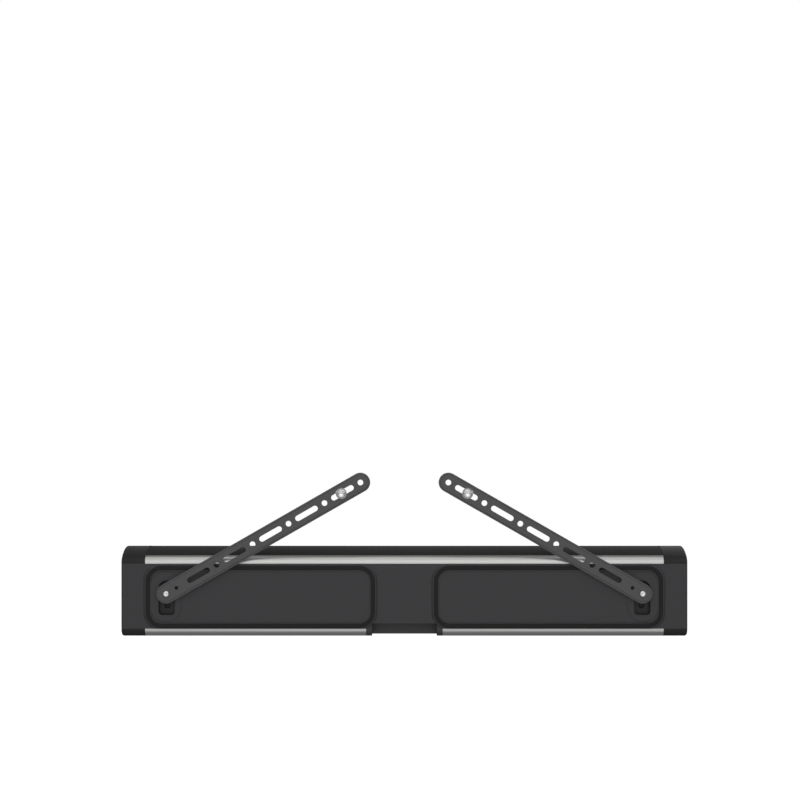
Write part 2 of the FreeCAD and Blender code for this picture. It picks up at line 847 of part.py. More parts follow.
def board_screws():
    seat = board_depth + board_wall
    return [rod(2.6, x, z, seat, seat + 1.6).fuse(rod(screw_radius, x, z, seat - board_screw_length, seat))
            for x, z in board_posts()]


def panel_screws():
    floor = -pad_height + ring_groove
    screws = []
    for x, z in panel_screw_places():
        head = rod(screw_head_radius, x, z, floor, floor + screw_head_height)
        screws.append(head.fuse(rod(screw_radius, x, z, floor, ledge_back - 0.2)))
    return screws


def baffle_screws():
    return [screw(x, z, baffle_front, baffle_wall - 0.5) for x, z in baffle_screw_places()]


def sockets():
    """Centre, depth, width, thickness and height of each socket: mains, two network, one optical."""
    return [(-30, 21, 24, 15, 20), (0, 21, 16, 14, 17), (19, 21, 16, 14, 17), (37, 21, 11, 11, 15)]


def socket(i, mouth_side, mouth_deep, mouth_height):
    """Socket body that hangs its mouth through the bay's ceiling."""
    x, d, w, t, h = sockets()[i]
    low = bay_height + 0.3
    body = block(x - w / 2, x + w / 2, d - t / 2, d + t / 2, low, low + h)
    mouth = block(x - mouth_side / 2, x + mouth_side / 2, d - mouth_deep / 2, d + mouth_deep / 2,
                  low - 1, low + mouth_height)
    return body.cut(mouth)


def power_inlet():
    x, d, w, t, h = sockets()[0]
    body = socket(0, w - 2 * socket_wall - 3, t - 2 * socket_wall - 3, h - 4)
    pins = [Part.makeCylinder(1.2, h - 6, V(x + s * 4.3, -d, bay_height + 4)) for s in (-1, 1)]
    return joined([body] + pins)


def network_ports():
    ports = []
    for i in (1, 2):
        x, d, w, t, h = sockets()[i]
        ports.append(socket(i, w - 2 * socket_wall - 1, t - 2 * socket_wall - 3, h - 3))
    return ports


def optical_port():
    x, d, w, t, h = sockets()[3]
    return socket(3, w - 2 * socket_wall - 1, t - 2 * socket_wall - 1, h - 4)


# ---- Buttons ----

def button(z):
    foot = half_length - cap_wall - 1.5
    stem = pin(button_radius, foot, half_length - button_sink, 0, z)
    return stem.fuse(pin(button_radius + 1.3, foot, foot + 1.4, 0, z)).removeSplitter()


def switch_foot():
    """Face of the button board: the switches on it are met after the buttons' travel."""
    return half_length - cap_wall - 1.5 - button_travel - 0.15 - switch_height


def button_board():
    x1 = switch_foot()
    low = button_middle_z - 30
    return block(x1 - board_wall, x1, button_depth - 12, button_depth + 12, low, light_z() + 8)


def button_switches():
    x0 = switch_foot()
    parts = []
    for z in button_z.values():
        body = Part.makeBox(3, 6, 6, V(x0, -button_depth - 3, z - 3))
        parts.append(body.fuse(pin(1.7, x0, x0 + switch_height, 0, z)))
    return parts


def status_light_pipe():
    return pin(light_radius, switch_foot(), half_length - button_sink, 0, light_z())


# ---- Arms and their fixings (drawn for the left-hand side, at -X) ----

def arm_slot_centre(i):
    return arm_pitch - arm_slot_pitch * (arm_slot_count - i - 0.5)


def flat_arm():
    """Arm along +X from its pivot, before it is turned: a pressed strap with a raised middle."""
    middle = arm_pitch / 2
    ledge_back = arm_gap + arm_wall
    strap = slab(middle, 0, arm_pitch + arm_width, arm_width, arm_width / 2, -ledge_back, -arm_gap)
    wires = []
    for grow, back in ((0.6, ledge_back), (0, arm_back)):
        width = arm_width - 2 * arm_ledge + 2 * grow
        wires.append(rounded_wire(middle, 0, arm_pitch + width, width, width / 2, -back))
    raised = Part.makeLoft(wires, True, True)
    inner = arm_width - 2 * arm_ledge - 2 * arm_rim
    pocket = slab(middle, 0, arm_pitch + inner, inner, inner / 2, -arm_seat, -arm_gap + 1)
    cuts = [pocket, rod(shoulder_radius + running_gap, 0, 0, -arm_back - 1, 0),
            rod(arm_small_hole_radius, arm_small_hole_x, 0, -arm_back - 1, 0)]
    for i in range(arm_slot_count):
        cuts.append(slab(arm_slot_centre(i), 0, arm_slot_length, arm_slot_width, arm_slot_width / 2,
                         -arm_back - 1, 0))
        cuts.append(rod(arm_hole_radius, arm_pitch - arm_slot_pitch * i, 0, -arm_back - 1, 0))
    return without(joined([strap, raised]), cuts)


def arm():
    turned_arm = flat_arm()
    turned_arm.rotate(V(0, 0, 0), V(0, 1, 0), -arm_angle)
    return turned_arm.translated(V(-pivot_half_spacing, 0, pivot_z))


def hook_stud():
    """Turned stud: a head behind the keyhole plate, a neck in its slot and a collar for the arm."""
    x, z = -pivot_half_spacing, pivot_z
    back = keyhole_plate_depth + keyhole_plate_wall + seat_gap
    collar = rod(collar_radius, x, z, -arm_seat + seat_gap, keyhole_plate_depth - seat_gap)
    neck = rod(neck_radius, x, z, keyhole_plate_depth - 1, back + 1)
    head = rod(hook_radius, x, z, back, back + hook_thickness)
    bore = rod(pivot_thread_radius, x, z, -arm_back, -arm_seat + pivot_thread_length)
    return joined([collar, neck, head]).cut(bore)


def pivot_screw():
    x, z = -pivot_half_spacing, pivot_z
    seat = arm_back + seat_gap
    head = rod(pivot_head_radius, x, z, -seat - pivot_head_height, -seat)
    rim = [edge for edge in head.Edges if abs(edge.BoundBox.YMin - seat - pivot_head_height) < 1e-6
           and edge.BoundBox.YLength < 1e-6]
    head = head.makeFillet(1.4, rim)
    shoulder = rod(shoulder_radius, x, z, -seat, -arm_seat + seat_gap)
    thread = rod(pivot_thread_radius, x, z, -arm_seat, -arm_seat + pivot_thread_length - 0.5)
    socket_cut = hexagon(1.5, x, z, -seat - pivot_head_height - 1, -seat - pivot_head_height + 1.6)
    return joined([head, shoulder, thread]).cut(socket_cut)


def hexagon(radius, x, z, d0, d1):
    """Hexagonal prism for a key, with this radius to its corners."""
    corners = []
    for i in range(7):
        angle = math.radians(60 * i)
        corners.append(V(x + radius * math.cos(angle), -d1, z + radius * math.sin(angle)))
    return Part.Face(Part.makePolygon(corners)).extrude(V(0, d1 - d0, 0))


def tv_screw():
    """Screw into the television: its stud is what stands out in front of the arm's spacer."""
    x, z = -tv_screw_spacing / 2, tv_screw_z
    seat = arm_back + seat_gap + tv_washer_thickness
    head = rod(tv_head_radius, x, z, -seat - tv_head_height, -seat)
    rim = [edge for edge in head.Edges if abs(edge.BoundBox.YMin - seat - tv_head_height) < 1e-6
           and edge.BoundBox.YLength < 1e-6]
    head = head.makeFillet(1.6, rim)
    shank = rod(tv_shank_radius, x, z, -seat, 0)
    stud = rod(tv_stud_radius, x, z, 0, tv_stud_length)
    key = hexagon(tv_socket_radius, x, z, -seat - tv_head_height - 1, -seat - tv_head_height + 2.6)
    return joined([head, shank, stud]).cut(key)


def tv_washer():
    seat = arm_back + seat_gap
    return tube(tv_washer_radius, tv_shank_radius + 0.2, -tv_screw_spacing / 2, tv_screw_z,
                -seat - tv_washer_thickness, -seat)


def tv_spacer():
    return tube(tv_spacer_radius, tv_shank_radius + 0.4, -tv_screw_spacing / 2, tv_screw_z,
                -arm_seat + seat_gap, 0)


# ---- The whole assembly ----

def save_pair(name, left):
    save(name + "_left", left)
    save(name + "_right", mirrored(left))


def save_casing():
    whole = envelope()
    save("rear_panel", in_lengths(rear_panel(whole), bay_half_width))
    save("main_housing", in_lengths(main_housing(), bay_half_width + bay_wall + fit_gap))
    save("cable_bay", cable_bay())
    end = cap_x - fit_gap
    lower_start = bay_half_width + bay_cheek + fit_gap
    save("top_trim", trim(-end, end, upper_trim_zone(-end, end)))
    save("bottom_trim_left", trim(-end, -lower_start, lower_trim_zone(-end, end)))
    save("bottom_trim_right", trim(lower_start, end, lower_trim_zone(-end, end)))
    save("end_cap_left", end_cap(whole, -1))
    save("end_cap_right", end_cap(whole, 1))
    for side, word in ((-1, "left"), (1, "right")):
        save("foot_ring_" + word, foot_ring(side))
        save("keyhole_plate_" + word, keyhole_plate(side))
    save("panel_screws", panel_screws())


def save_front():
    save("baffle", baffle())
    save("baffle_gasket", baffle_gasket())
    save("baffle_screws", baffle_screws())
    save("grille_frame", grille_frame())
    save("grille_cloth", grille_cloth())


def save_drivers():
    save("woofer_frames", [woofer_frame(x) for x in woofer_x])
    save("woofer_magnets", [woofer_magnet(x) for x in woofer_x])
    save("woofer_spiders", [woofer_spider(x) for x in woofer_x])
    save("woofer_surrounds", [woofer_surround(x) for x in woofer_x])
    for i, x in enumerate(woofer_x):
        save("woofer_cone_" + str(i + 1), woofer_cone(x))
    tweeters = {"left": -tweeter_x, "centre": 0, "right": tweeter_x}
    save("tweeter_frames", [tweeter_frame(x) for x in tweeters.values()])
    save("tweeter_magnets", [tweeter_magnet(x) for x in tweeters.values()])
    for word, x in tweeters.items():
        save("tweeter_dome_" + word, tweeter_dome(x))
    save("driver_screws", driver_screw_set())


def save_electronics():
    save("main_board", main_board())
    save("amplifier_heatsink", amplifier_heatsink())
    save("power_supply", power_supply())
    save("board_screws", board_screws())
    save("power_inlet", power_inlet())
    save("network_ports", network_ports())
    save("optical_port", optical_port())
    save("button_board", button_board())
    save("button_switches", button_switches())
    save("status_light_pipe", status_light_pipe())
    for name, z in button_z.items():
        save(name, button(z))


def save_arms():
    save_pair("arm", arm())
    save_pair("hook_stud", hook_stud())
    save_pair("pivot_screw", pivot_screw())
    save_pair("tv_screw", tv_screw())
    save_pair("tv_washer", tv_washer())
    save_pair("tv_spacer", tv_spacer())


def main():
    os.makedirs("parts", exist_ok=True)
    save_casing()
    save_front()
    save_drivers()
    save_electronics()
    save_arms()


main()
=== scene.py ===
"""Finishes, cloth and small fixings of a soundbar that hangs on two slotted arms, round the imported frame."""
import json
import math
import bmesh
import bpy
from bpy.props import FloatProperty, FloatVectorProperty, IntProperty, PointerProperty
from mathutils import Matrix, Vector


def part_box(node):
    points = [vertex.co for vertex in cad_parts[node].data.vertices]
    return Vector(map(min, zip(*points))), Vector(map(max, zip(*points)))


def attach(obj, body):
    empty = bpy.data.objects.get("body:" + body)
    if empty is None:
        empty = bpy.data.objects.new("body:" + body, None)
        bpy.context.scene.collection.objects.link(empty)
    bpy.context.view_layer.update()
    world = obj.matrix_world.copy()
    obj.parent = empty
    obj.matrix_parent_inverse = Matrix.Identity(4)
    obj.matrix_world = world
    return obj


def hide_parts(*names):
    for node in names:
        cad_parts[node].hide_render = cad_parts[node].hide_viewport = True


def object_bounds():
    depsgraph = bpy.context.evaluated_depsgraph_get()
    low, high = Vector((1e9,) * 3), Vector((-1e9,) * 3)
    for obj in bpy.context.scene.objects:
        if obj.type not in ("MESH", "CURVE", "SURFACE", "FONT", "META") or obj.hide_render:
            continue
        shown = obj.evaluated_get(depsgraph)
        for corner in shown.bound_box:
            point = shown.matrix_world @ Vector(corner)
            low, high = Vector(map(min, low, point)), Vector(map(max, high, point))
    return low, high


bl_info = {
    "name": "Soundbar on Swinging Arms",
    "version": (1, 0, 0),
    "blender": (4, 5, 0),
    "location": "3D View > Sidebar > Soundbar",
    "description": "Finishes the packed frame of a soundbar: cloth, mouldings, arms, screws and studio",
    "category": "Object",
}

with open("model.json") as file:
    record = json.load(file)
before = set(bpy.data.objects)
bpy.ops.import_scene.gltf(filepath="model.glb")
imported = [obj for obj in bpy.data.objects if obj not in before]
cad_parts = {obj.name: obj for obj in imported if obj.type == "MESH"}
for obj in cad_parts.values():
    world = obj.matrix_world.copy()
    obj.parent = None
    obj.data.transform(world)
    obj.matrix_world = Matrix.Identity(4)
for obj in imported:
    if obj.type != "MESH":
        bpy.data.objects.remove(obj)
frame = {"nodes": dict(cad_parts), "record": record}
cad_low, cad_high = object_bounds()

SIDES = ("left", "right")
BEVEL_ANGLE = math.radians(32)
FLAT_ANGLE = math.radians(0.6)     # faces that meet at less than this are one flat face
WELD = 2e-6                        # points nearer than this are one point
TV_SCREW_CORE = 0.0034             # radius under the thread
TV_SCREW_POINT = 0.0016            # length at the end with no thread
WASHER_BORE = 0.0039               # radius
PIVOT_HEAD = 0.0028                # height of the pivot screw's head
ARM_LEDGE = 0.0025                 # from the arm's back to the ledge round its raised middle
STEP_RIM = (0.0014, 0.0046)        # how far in from the arm's edge the step's foot may lie
FLOOR_DROP = 0.42


# ---- Node trees written as expressions ----

class Signal:
    """The value on a node's output. Arithmetic on it adds Math nodes to its tree."""

    def __init__(self, net, socket):
        self.net = net
        self.socket = socket

    def math(self, operation, *others):
        sockets = dict(enumerate((self,) + others))
        return self.net.node("ShaderNodeMath", {"operation": operation}, sockets)

    def reflected(self, operation, other):
        return self.net.node("ShaderNodeMath", {"operation": operation}, {0: other, 1: self})

    def __add__(self, other):
        return self.math("ADD", other)

    def __sub__(self, other):
        return self.math("SUBTRACT", other)

    def __rsub__(self, other):
        return self.reflected("SUBTRACT", other)

    def __mul__(self, other):
        return self.math("MULTIPLY", other)

    def __truediv__(self, other):
        return self.math("DIVIDE", other)

    __radd__ = __add__
    __rmul__ = __mul__

    def sine(self):
        return self.math("SINE")

    def most(self, other):
        return self.math("MAXIMUM", other)

    def step(self, low, high):
        """0 below low, 1 above high and a smooth rise between them."""
        sockets = {"Value": self, "From Min": low, "From Max": high}
        return self.net.node("ShaderNodeMapRange", {"interpolation_type": "SMOOTHSTEP"}, sockets)

    def between(self, low, high):
        """Low where this is 0 and high where it is 1."""
        return self * (high - low) + low


class Net:
    """A node tree, and the one way that nodes are added to it."""

    def __init__(self, tree):
        self.tree = tree

    def node(self, kind, settings=(), sockets=(), out=0):
        made = self.tree.nodes.new(kind)
        for name, value in dict(settings).items():
            setattr(made, name, value)
        for name, value in dict(sockets).items():
            if isinstance(value, Signal):
                self.tree.links.new(value.socket, made.inputs[name])
            else:
                made.inputs[name].default_value = value
        return Signal(self, made.outputs[out])


class Finish(Net):
    """A surface finish, made from noise, weave and bump."""

    def __init__(self, name):
        self.material = bpy.data.materials.new(name)
        self.material.use_nodes = True
        super().__init__(self.material.node_tree)
        self.shader = self.tree.nodes["Principled BSDF"]
        self.place = self.node("ShaderNodeTexCoord", out=3)

    def scaled(self, x, y, z):
        """Object coordinates with each axis multiplied."""
        return self.node("ShaderNodeVectorMath", {"operation": "MULTIPLY"}, {0: self.place, 1: (x, y, z)})

    def noise(self, scale, detail=2.0, rough=0.5, place=None, twist=0.0):
        sockets = {"Vector": place or self.place, "Scale": scale, "Detail": detail, "Roughness": rough,
                   "Distortion": twist}
        return self.node("ShaderNodeTexNoise", {}, sockets)

    def cells(self, scale):
        """Distance to the nearest of scattered points."""
        return self.node("ShaderNodeTexVoronoi", {}, {"Vector": self.place, "Scale": scale})

    def attribute(self, name):
        return self.node("ShaderNodeAttribute", {"attribute_name": name}, out=2)

    def blend(self, factor, first, second):
        """Colour that goes from the first to the second."""
        sockets = {0: factor, 6: colour(first), 7: colour(second)}
        return self.node("ShaderNodeMix", {"data_type": "RGBA"}, sockets, out=2)

    def shade(self, base, amount):
        """Base colour made darker or lighter by a factor that changes over the surface."""
        sockets = {0: 1.0, 6: colour(base), 7: self.grey(amount)}
        return self.node("ShaderNodeMix", {"data_type": "RGBA", "blend_type": "MULTIPLY"}, sockets, out=2)

    def grey(self, amount):
        return self.node("ShaderNodeCombineColor", {}, {0: amount, 1: amount, 2: amount})

    def bump(self, height, depth):
        """Relief of this depth in metres."""
        return self.node("ShaderNodeBump", {}, {"Height": height, "Distance": depth})

    def surface(self, **sockets):
        """Connects or sets the shader's sockets, with _ for the spaces in their names."""
        for name, value in sockets.items():
            socket = self.shader.inputs[name.replace("_", " ")]
            if isinstance(value, Signal):
                self.tree.links.new(value.socket, socket)
            else:
                socket.default_value = colour(value)
        return self.material


def colour(value):
    """A colour with its alpha; anything else as it is."""
    if isinstance(value, Signal) or isinstance(value, (int, float)):
        return value
    return (*value, 1.0) if len(value) == 3 else tuple(value)


# ---- Sizes and colours that a user would change ----

def length_property(name, description, default):
    return FloatProperty(name=name, description=description, default=default, unit="LENGTH", min=0.0)


def colour_property(name, description, default):
    return FloatVectorProperty(name=name, description=description, default=default, subtype="COLOR",
                               min=0.0, max=1.0)


def light_property(name, description, default):
    return FloatProperty(name=name, description=description, default=default)


class SoundbarColours(bpy.types.PropertyGroup):
    """Base colours of the finishes."""

    panel: colour_property("Rear panel", "Moulded grey plastic of the back", (0.1, 0.1, 0.103))
    casing: colour_property("Casing", "Black plastic of the ends and the cable bay", (0.0125, 0.0125, 0.0132))
    strip: colour_property("Edge strips", "Satin aluminium along the edges", (0.62, 0.62, 0.61))
    rubber: colour_property("Rubber", "Foot rings and speaker surrounds", (0.0075, 0.0075, 0.008))
    arm: colour_property("Arms", "Powder coat on the hanging arms", (0.225, 0.225, 0.231))
    bright: colour_property("Bright plating", "Zinc on the screws and washers", (0.93, 0.93, 0.935))
    cloth: colour_property("Grille cloth", "Yarn of the cloth", (0.034, 0.034, 0.0355))


class SoundbarSizes(bpy.types.PropertyGroup):
    """Small sizes that the frame doesn't carry."""

    ease: length_property("Edge easing", "Width of the small rounding along moulded edges", 0.0005)
    arm_ease: length_property("Arm easing", "Width of the rounding along the arms' pressed edges", 0.0004)
    ring_corner: length_property("Ring corner", "Corner radius of the foot rings' middle line", 0.0216)
    ring_round: length_property("Ring rounding", "Rounding of the foot rings' top edges", 0.0011)
    thread_pitch: length_property("Thread pitch", "Pitch of the television screws' thread", 0.00125)
    thread_depth: length_property("Thread depth", "Depth of the television screws' thread", 0.00062)
    yarn: length_property("Yarn spacing", "Distance between neighbouring yarns of the cloth", 0.0011)
    cloth_thickness: length_property("Cloth thickness", "Thickness of the grille cloth", 0.0007)
    cloth_sag: length_property("Cloth dip", "How far the cloth dips into the frame's windows", 0.0005)
    contact_count: IntProperty(name="Contacts", description="Contacts in each network socket",
                               default=8, min=2)


class SoundbarStudio(bpy.types.PropertyGroup):
    """Camera and light."""

    distance: length_property("Camera distance", "From the bar's back to the camera", 3.0)
    lens: FloatProperty(name="Lens", description="Focal length in millimetres", default=85.0, min=10.0)
    height: length_property("Camera height", "Above the television screws", 0.148)
    aside: length_property("Camera offset", "Along the bar from its middle", 0.007)
    key: light_property("Key light", "Radiance of the large light behind the camera", 1.05)
    low: light_property("Low light", "Radiance of the light below the camera", 0.6)
    top: light_property("Top light", "Radiance of the light over the bar", 0.7)
    front: light_property("Front light", "Radiance of the light on the bar's front", 1.5)
    ends: light_property("End lights", "Radiance of the lights on the bar's two ends", 1.0)
    room: light_property("Room light", "Brightness of the room", 0.16)


def colours():
    return bpy.context.scene.soundbar_colours


def sizes():
    return bpy.context.scene.soundbar_sizes


# ---- Mesh helpers ----

def add_piece(mesh, name):
    piece = bpy.data.objects.new(name, mesh)
    bpy.context.scene.collection.objects.link(piece)
    return piece


def mesh_from(bm, name):
    mesh = bpy.data.meshes.new(name)
    bm.to_mesh(mesh)
    bm.free()
    return mesh


def evaluated(piece):
    """The piece's mesh with its modifiers applied."""
    bpy.context.view_layer.update()
    graph = bpy.context.evaluated_depsgraph_get()
    mesh = bpy.data.meshes.new_from_object(piece.evaluated_get(graph))
    piece.modifiers.clear()
    piece.data = mesh
    return piece


def shade(piece, angle=BEVEL_ANGLE):
    """Smooth shading with creases, and normals that keep flat faces flat."""
    piece.data.shade_smooth()
    piece.data.set_sharp_from_angle(angle=angle)
    steady = piece.modifiers.new("flat faces", "WEIGHTED_NORMAL")
    steady.keep_sharp = True
    return evaluated(piece)


def hand_over(piece, finish, slot, body, *nodes):
    """Gives a piece its finish, the CAD nodes that it stands for and the body that it moves with."""
    piece.data.materials.clear()
    piece.data.materials.append(bpy.data.materials[finish])
    if nodes:
        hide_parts(*nodes)
    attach(piece, body)
    return piece


def body_of(node):
    return next(body for body, nodes in frame["record"]["behaviour"]["bodies"].items() if node in nodes)


def slot_of(node):
    return next(part["material_slot"] for part in frame["record"]["subparts"] if part["node"] == node)


def join_solids(bm):
    """Where two solids of one node touch, the faces between them go, so that they read as one piece."""
    buried = [face for face in bm.faces
              if all(len(edge.link_faces) > 2 for edge in face.edges) and abs(face.normal.x) > 0.999]
    if buried:
        bmesh.ops.delete(bm, geom=buried, context="FACES")
        bmesh.ops.dissolve_limit(bm, angle_limit=FLAT_ANGLE, verts=bm.verts, edges=bm.edges)


def eased_mesh(node, width):
    """A node's shape with its sharp edges rounded. The rounded faces are marked for edge wear and painted
    highlight.
    """
    bm = bmesh.new()
    bm.from_mesh(frame["nodes"][node].data)
    bmesh.ops.remove_doubles(bm, verts=bm.verts, dist=WELD)
    bmesh.ops.dissolve_limit(bm, angle_limit=FLAT_ANGLE, verts=bm.verts, edges=bm.edges)
    join_solids(bm)
    bmesh.ops.recalc_face_normals(bm, faces=bm.faces)
    sharp = [edge for edge in bm.edges if edge.is_manifold and edge.calc_face_angle(0) > BEVEL_ANGLE]
    wear_highlight = bm.verts.layers.float.new("edge_wear_and_highlight")
    made = bmesh.ops.bevel(bm, geom=sharp, offset=width, offset_type="OFFSET", segments=2, profile=0.5,
                           affect="EDGES", clamp_overlap=True)
    for face in made["faces"]:
        for vert in face.verts:
            vert[wear_highlight] = 1.0
    bmesh.ops.triangulate(bm, faces=[face for face in bm.faces if len(face.verts) > 4])
    return mesh_from(bm, node)


def ease(node, width, name, finish=None):
    slot = slot_of(node)
    piece = shade(add_piece(eased_mesh(node, width), name))
    return hand_over(piece, finish or slot, slot, body_of(node), node)


def six_sided(across, angle):
    """Distance from a hexagon's middle to its side, in a direction."""
    part = angle % (math.pi / 3) - math.pi / 6
    return across / math.cos(part)


def lathe(bm, rows, x, z, closed=False, sides=60):
    """Shape turned about an axis along Y. A row is (y, radius), or (y, half width, "hex")."""
    from_axis = bm.verts.layers.float.get("from_axis") or bm.verts.layers.float.new("from_axis")
    rings = []
    for row in rows:
        y, radius = row[:2]
        if radius == 0:
            rings.append([bm.verts.new((x, y, z))])
            continue
        ring = []
        for i in range(sides):
            angle = 2 * math.pi * i / sides
            reach = six_sided(radius, angle) if len(row) > 2 else radius
            vert = bm.verts.new((x + reach * math.cos(angle), y, z + reach * math.sin(angle)))
            vert[from_axis] = reach
            ring.append(vert)
        rings.append(ring)
    pairs = list(zip(rings, rings[1:] + rings[:1])) if closed else list(zip(rings, rings[1:]))
    for first, second in pairs:
        for i in range(sides):
            j = (i + 1) % sides
            corners = (first[i % len(first)], first[j % len(first)],
                       second[j % len(second)], second[i % len(second)])
            unique = list(dict.fromkeys(corners))
            if len(unique) > 2:
                bm.faces.new(unique)
    bmesh.ops.recalc_face_normals(bm, faces=bm.faces)


def arc_rows(y, radius, size, steps=6):
    """Rows of a rounded outer edge that starts at the top and ends at the side."""
    rows = []
    for i in range(steps + 1):
        angle = math.pi / 2 * i / steps
        rows.append((y - size + size * math.cos(angle), radius - size + size * math.sin(angle)))
    return rows


# ---- Geometry Nodes ----

class Grower(Net):
    """A Geometry Nodes tree with named sizes."""

    def __init__(self, name, inputs, finish):
        super().__init__(bpy.data.node_groups.new(name, "GeometryNodeTree"))
        self.finish = finish
        self.tree.interface.new_socket("Geometry", in_out="OUTPUT", socket_type="NodeSocketGeometry")
        for label, value in inputs.items():
            kind = "NodeSocketInt" if isinstance(value, int) else "NodeSocketFloat"
            socket = self.tree.interface.new_socket(label, in_out="INPUT", socket_type=kind)
            socket.default_value = value
        self.values = inputs
        self.entry = self.tree.nodes.new("NodeGroupInput")

    def size(self, label):
        return Signal(self, self.entry.outputs[label])

    def vector(self, x=0.0, y=0.0, z=0.0):
        return self.node("ShaderNodeCombineXYZ", {}, {0: x, 1: y, 2: z})

    def moved(self, geometry, translation=(0, 0, 0), rotation=(0, 0, 0)):
        sockets = {"Geometry": geometry, "Translation": translation, "Rotation": rotation}
        return self.node("GeometryNodeTransform", {}, sockets)

    def finished(self, geometry):
        """Ends the tree: real instances with their material."""
        real = self.node("GeometryNodeRealizeInstances", {}, {"Geometry": geometry})
        painted = self.node("GeometryNodeSetMaterial", {},
                            {"Geometry": real, "Material": bpy.data.materials[self.finish]})
        leave = self.tree.nodes.new("NodeGroupOutput")
        self.tree.links.new(painted.socket, leave.inputs[0])
        return self

    def grown(self, name, **changes):
        """A plain mesh piece from the tree."""
        piece = add_piece(bpy.data.meshes.new(name), name)
        modifier = piece.modifiers.new("grown", "NODES")
        modifier.node_group = self.tree
        values = {**self.values, **changes}
        for item in self.tree.interface.items_tree:
            if item.in_out == "INPUT":
                modifier[item.identifier] = values[item.name]
        return evaluated(piece)


# ---- Finishes ----

def moulded(name, base, grain, depth, rough, wear_highlight=0.0):
    """Moulded plastic with a spark-eroded grain of this size and depth."""
    f = Finish(name)
    fine = f.noise(1 / grain, 3, 0.6)
    pits = f.cells(0.6 / grain)
    broad = f.noise(7, 3, 0.55)
    dust = f.noise(260, 4, 0.7).step(0.62, 0.8) * f.noise(18, 2).step(0.45, 0.75)
    tone = broad.between(0.95, 1.05) * fine.between(0.93, 1.07)
    body = f.blend(dust * 0.16, f.shade(base, tone), (0.22, 0.215, 0.2))
    if wear_highlight:
        # lighter rounded edges: partly wear, partly painted highlight where the edges catch the light
        edge = f.attribute("edge_wear_and_highlight") * f.noise(90, 3).between(0.3, 1.0) * wear_highlight
        body = f.blend(edge, body, tuple(min(1.0, c * 3.2 + 0.02) for c in base))
    sheen = broad.between(rough - 0.05, rough + 0.05) + dust * 0.12 - fine * 0.04
    relief = f.bump(fine * 0.6 + pits * 0.4, depth)
    return f.surface(Base_Color=body, Roughness=sheen, Normal=relief, IOR=1.48)


def rubbery(name, base):
    f = Finish(name)
    fine = f.noise(1500, 4, 0.65)
    bloom = f.noise(35, 4, 0.6)
    tone = bloom.between(0.8, 1.25)
    body = f.blend(bloom.step(0.5, 0.85) * 0.04, f.shade(base, tone), (0.05, 0.05, 0.049))
    return f.surface(Base_Color=body, Roughness=bloom.between(0.5, 0.68), Normal=f.bump(fine, 0.00006),
                     IOR=1.52, Specular_IOR_Level=0.3)


def brushed(name, base, rough, along=(14, 2600, 2600)):
    """Metal brushed along the bar."""
    f = Finish(name)
    strokes = f.noise(1, 5, 0.7, f.scaled(*along))
    fine = f.noise(1, 2, 0.5, f.scaled(along[0] * 6, along[1] * 2.2, along[2] * 2.2))
    haze = f.noise(11, 3, 0.5)
    tone = strokes.between(0.88, 1.08) * haze.between(0.95, 1.03)
    sheen = strokes.between(rough - 0.08, rough + 0.1) + haze * 0.06
    relief = f.bump(strokes * 0.6 + fine * 0.4, 0.00003)
    return f.surface(Base_Color=f.shade(base, tone), Roughness=sheen, Normal=relief, Metallic=1.0)


def coated(name, base):
    """Powder coat: a fine orange peel, lighter along the edges as wear and painted highlight, with painted
    shade at the foot of the arm's raised middle.
    """
    f = Finish(name)
    peel = f.noise(850, 2, 0.45)
    grain = f.noise(4200, 2, 0.6)
    broad = f.noise(16, 3, 0.5)
    tone = broad.between(0.93, 1.07) * grain.between(0.88, 1.12)
    # lighter rounded edges: partly wear, partly painted highlight where the edges catch the light
    edge = f.attribute("edge_wear_and_highlight") * f.noise(140, 4, 0.6).between(0.25, 1.0)
    rubbed_and_lit = tuple(min(1.0, c * 2.1 + 0.015) for c in base)
    # painted shade: the coating is darkened at the foot of the arm's raised middle, where the step's shadow
    # falls
    thick = 1 - f.attribute("step_foot").step(0.05, 0.6) * 0.86
    body = f.blend(edge * 0.6, f.shade(base, tone * thick), rubbed_and_lit)
    sheen = peel.between(0.36, 0.5) + broad * 0.06 - edge * 0.08
    return f.surface(Base_Color=body, Roughness=sheen, Normal=f.bump(peel * 0.7 + grain * 0.3, 0.00006),
                     IOR=1.5, Coat_Weight=0.12, Coat_Roughness=0.3)


def turned_metal(name, base, rough):
    """Plated metal with the fine rings that a lathe leaves."""
    f = Finish(name)
    rings = (f.attribute("from_axis") * 26000).sine() * 0.5 + 0.5
    stain = f.noise(160, 3, 0.5)
    fine = f.noise(3800, 3, 0.6)
    tone = stain.between(0.93, 1.04) * rings.between(0.97, 1.0)
    sheen = stain.between(rough - 0.04, rough + 0.06) + fine * 0.04
    relief = f.bump(rings * 0.5 + fine * 0.5, 0.000004)
    return f.surface(Base_Color=f.shade(base, tone), Roughness=sheen, Normal=relief, Metallic=1.0)


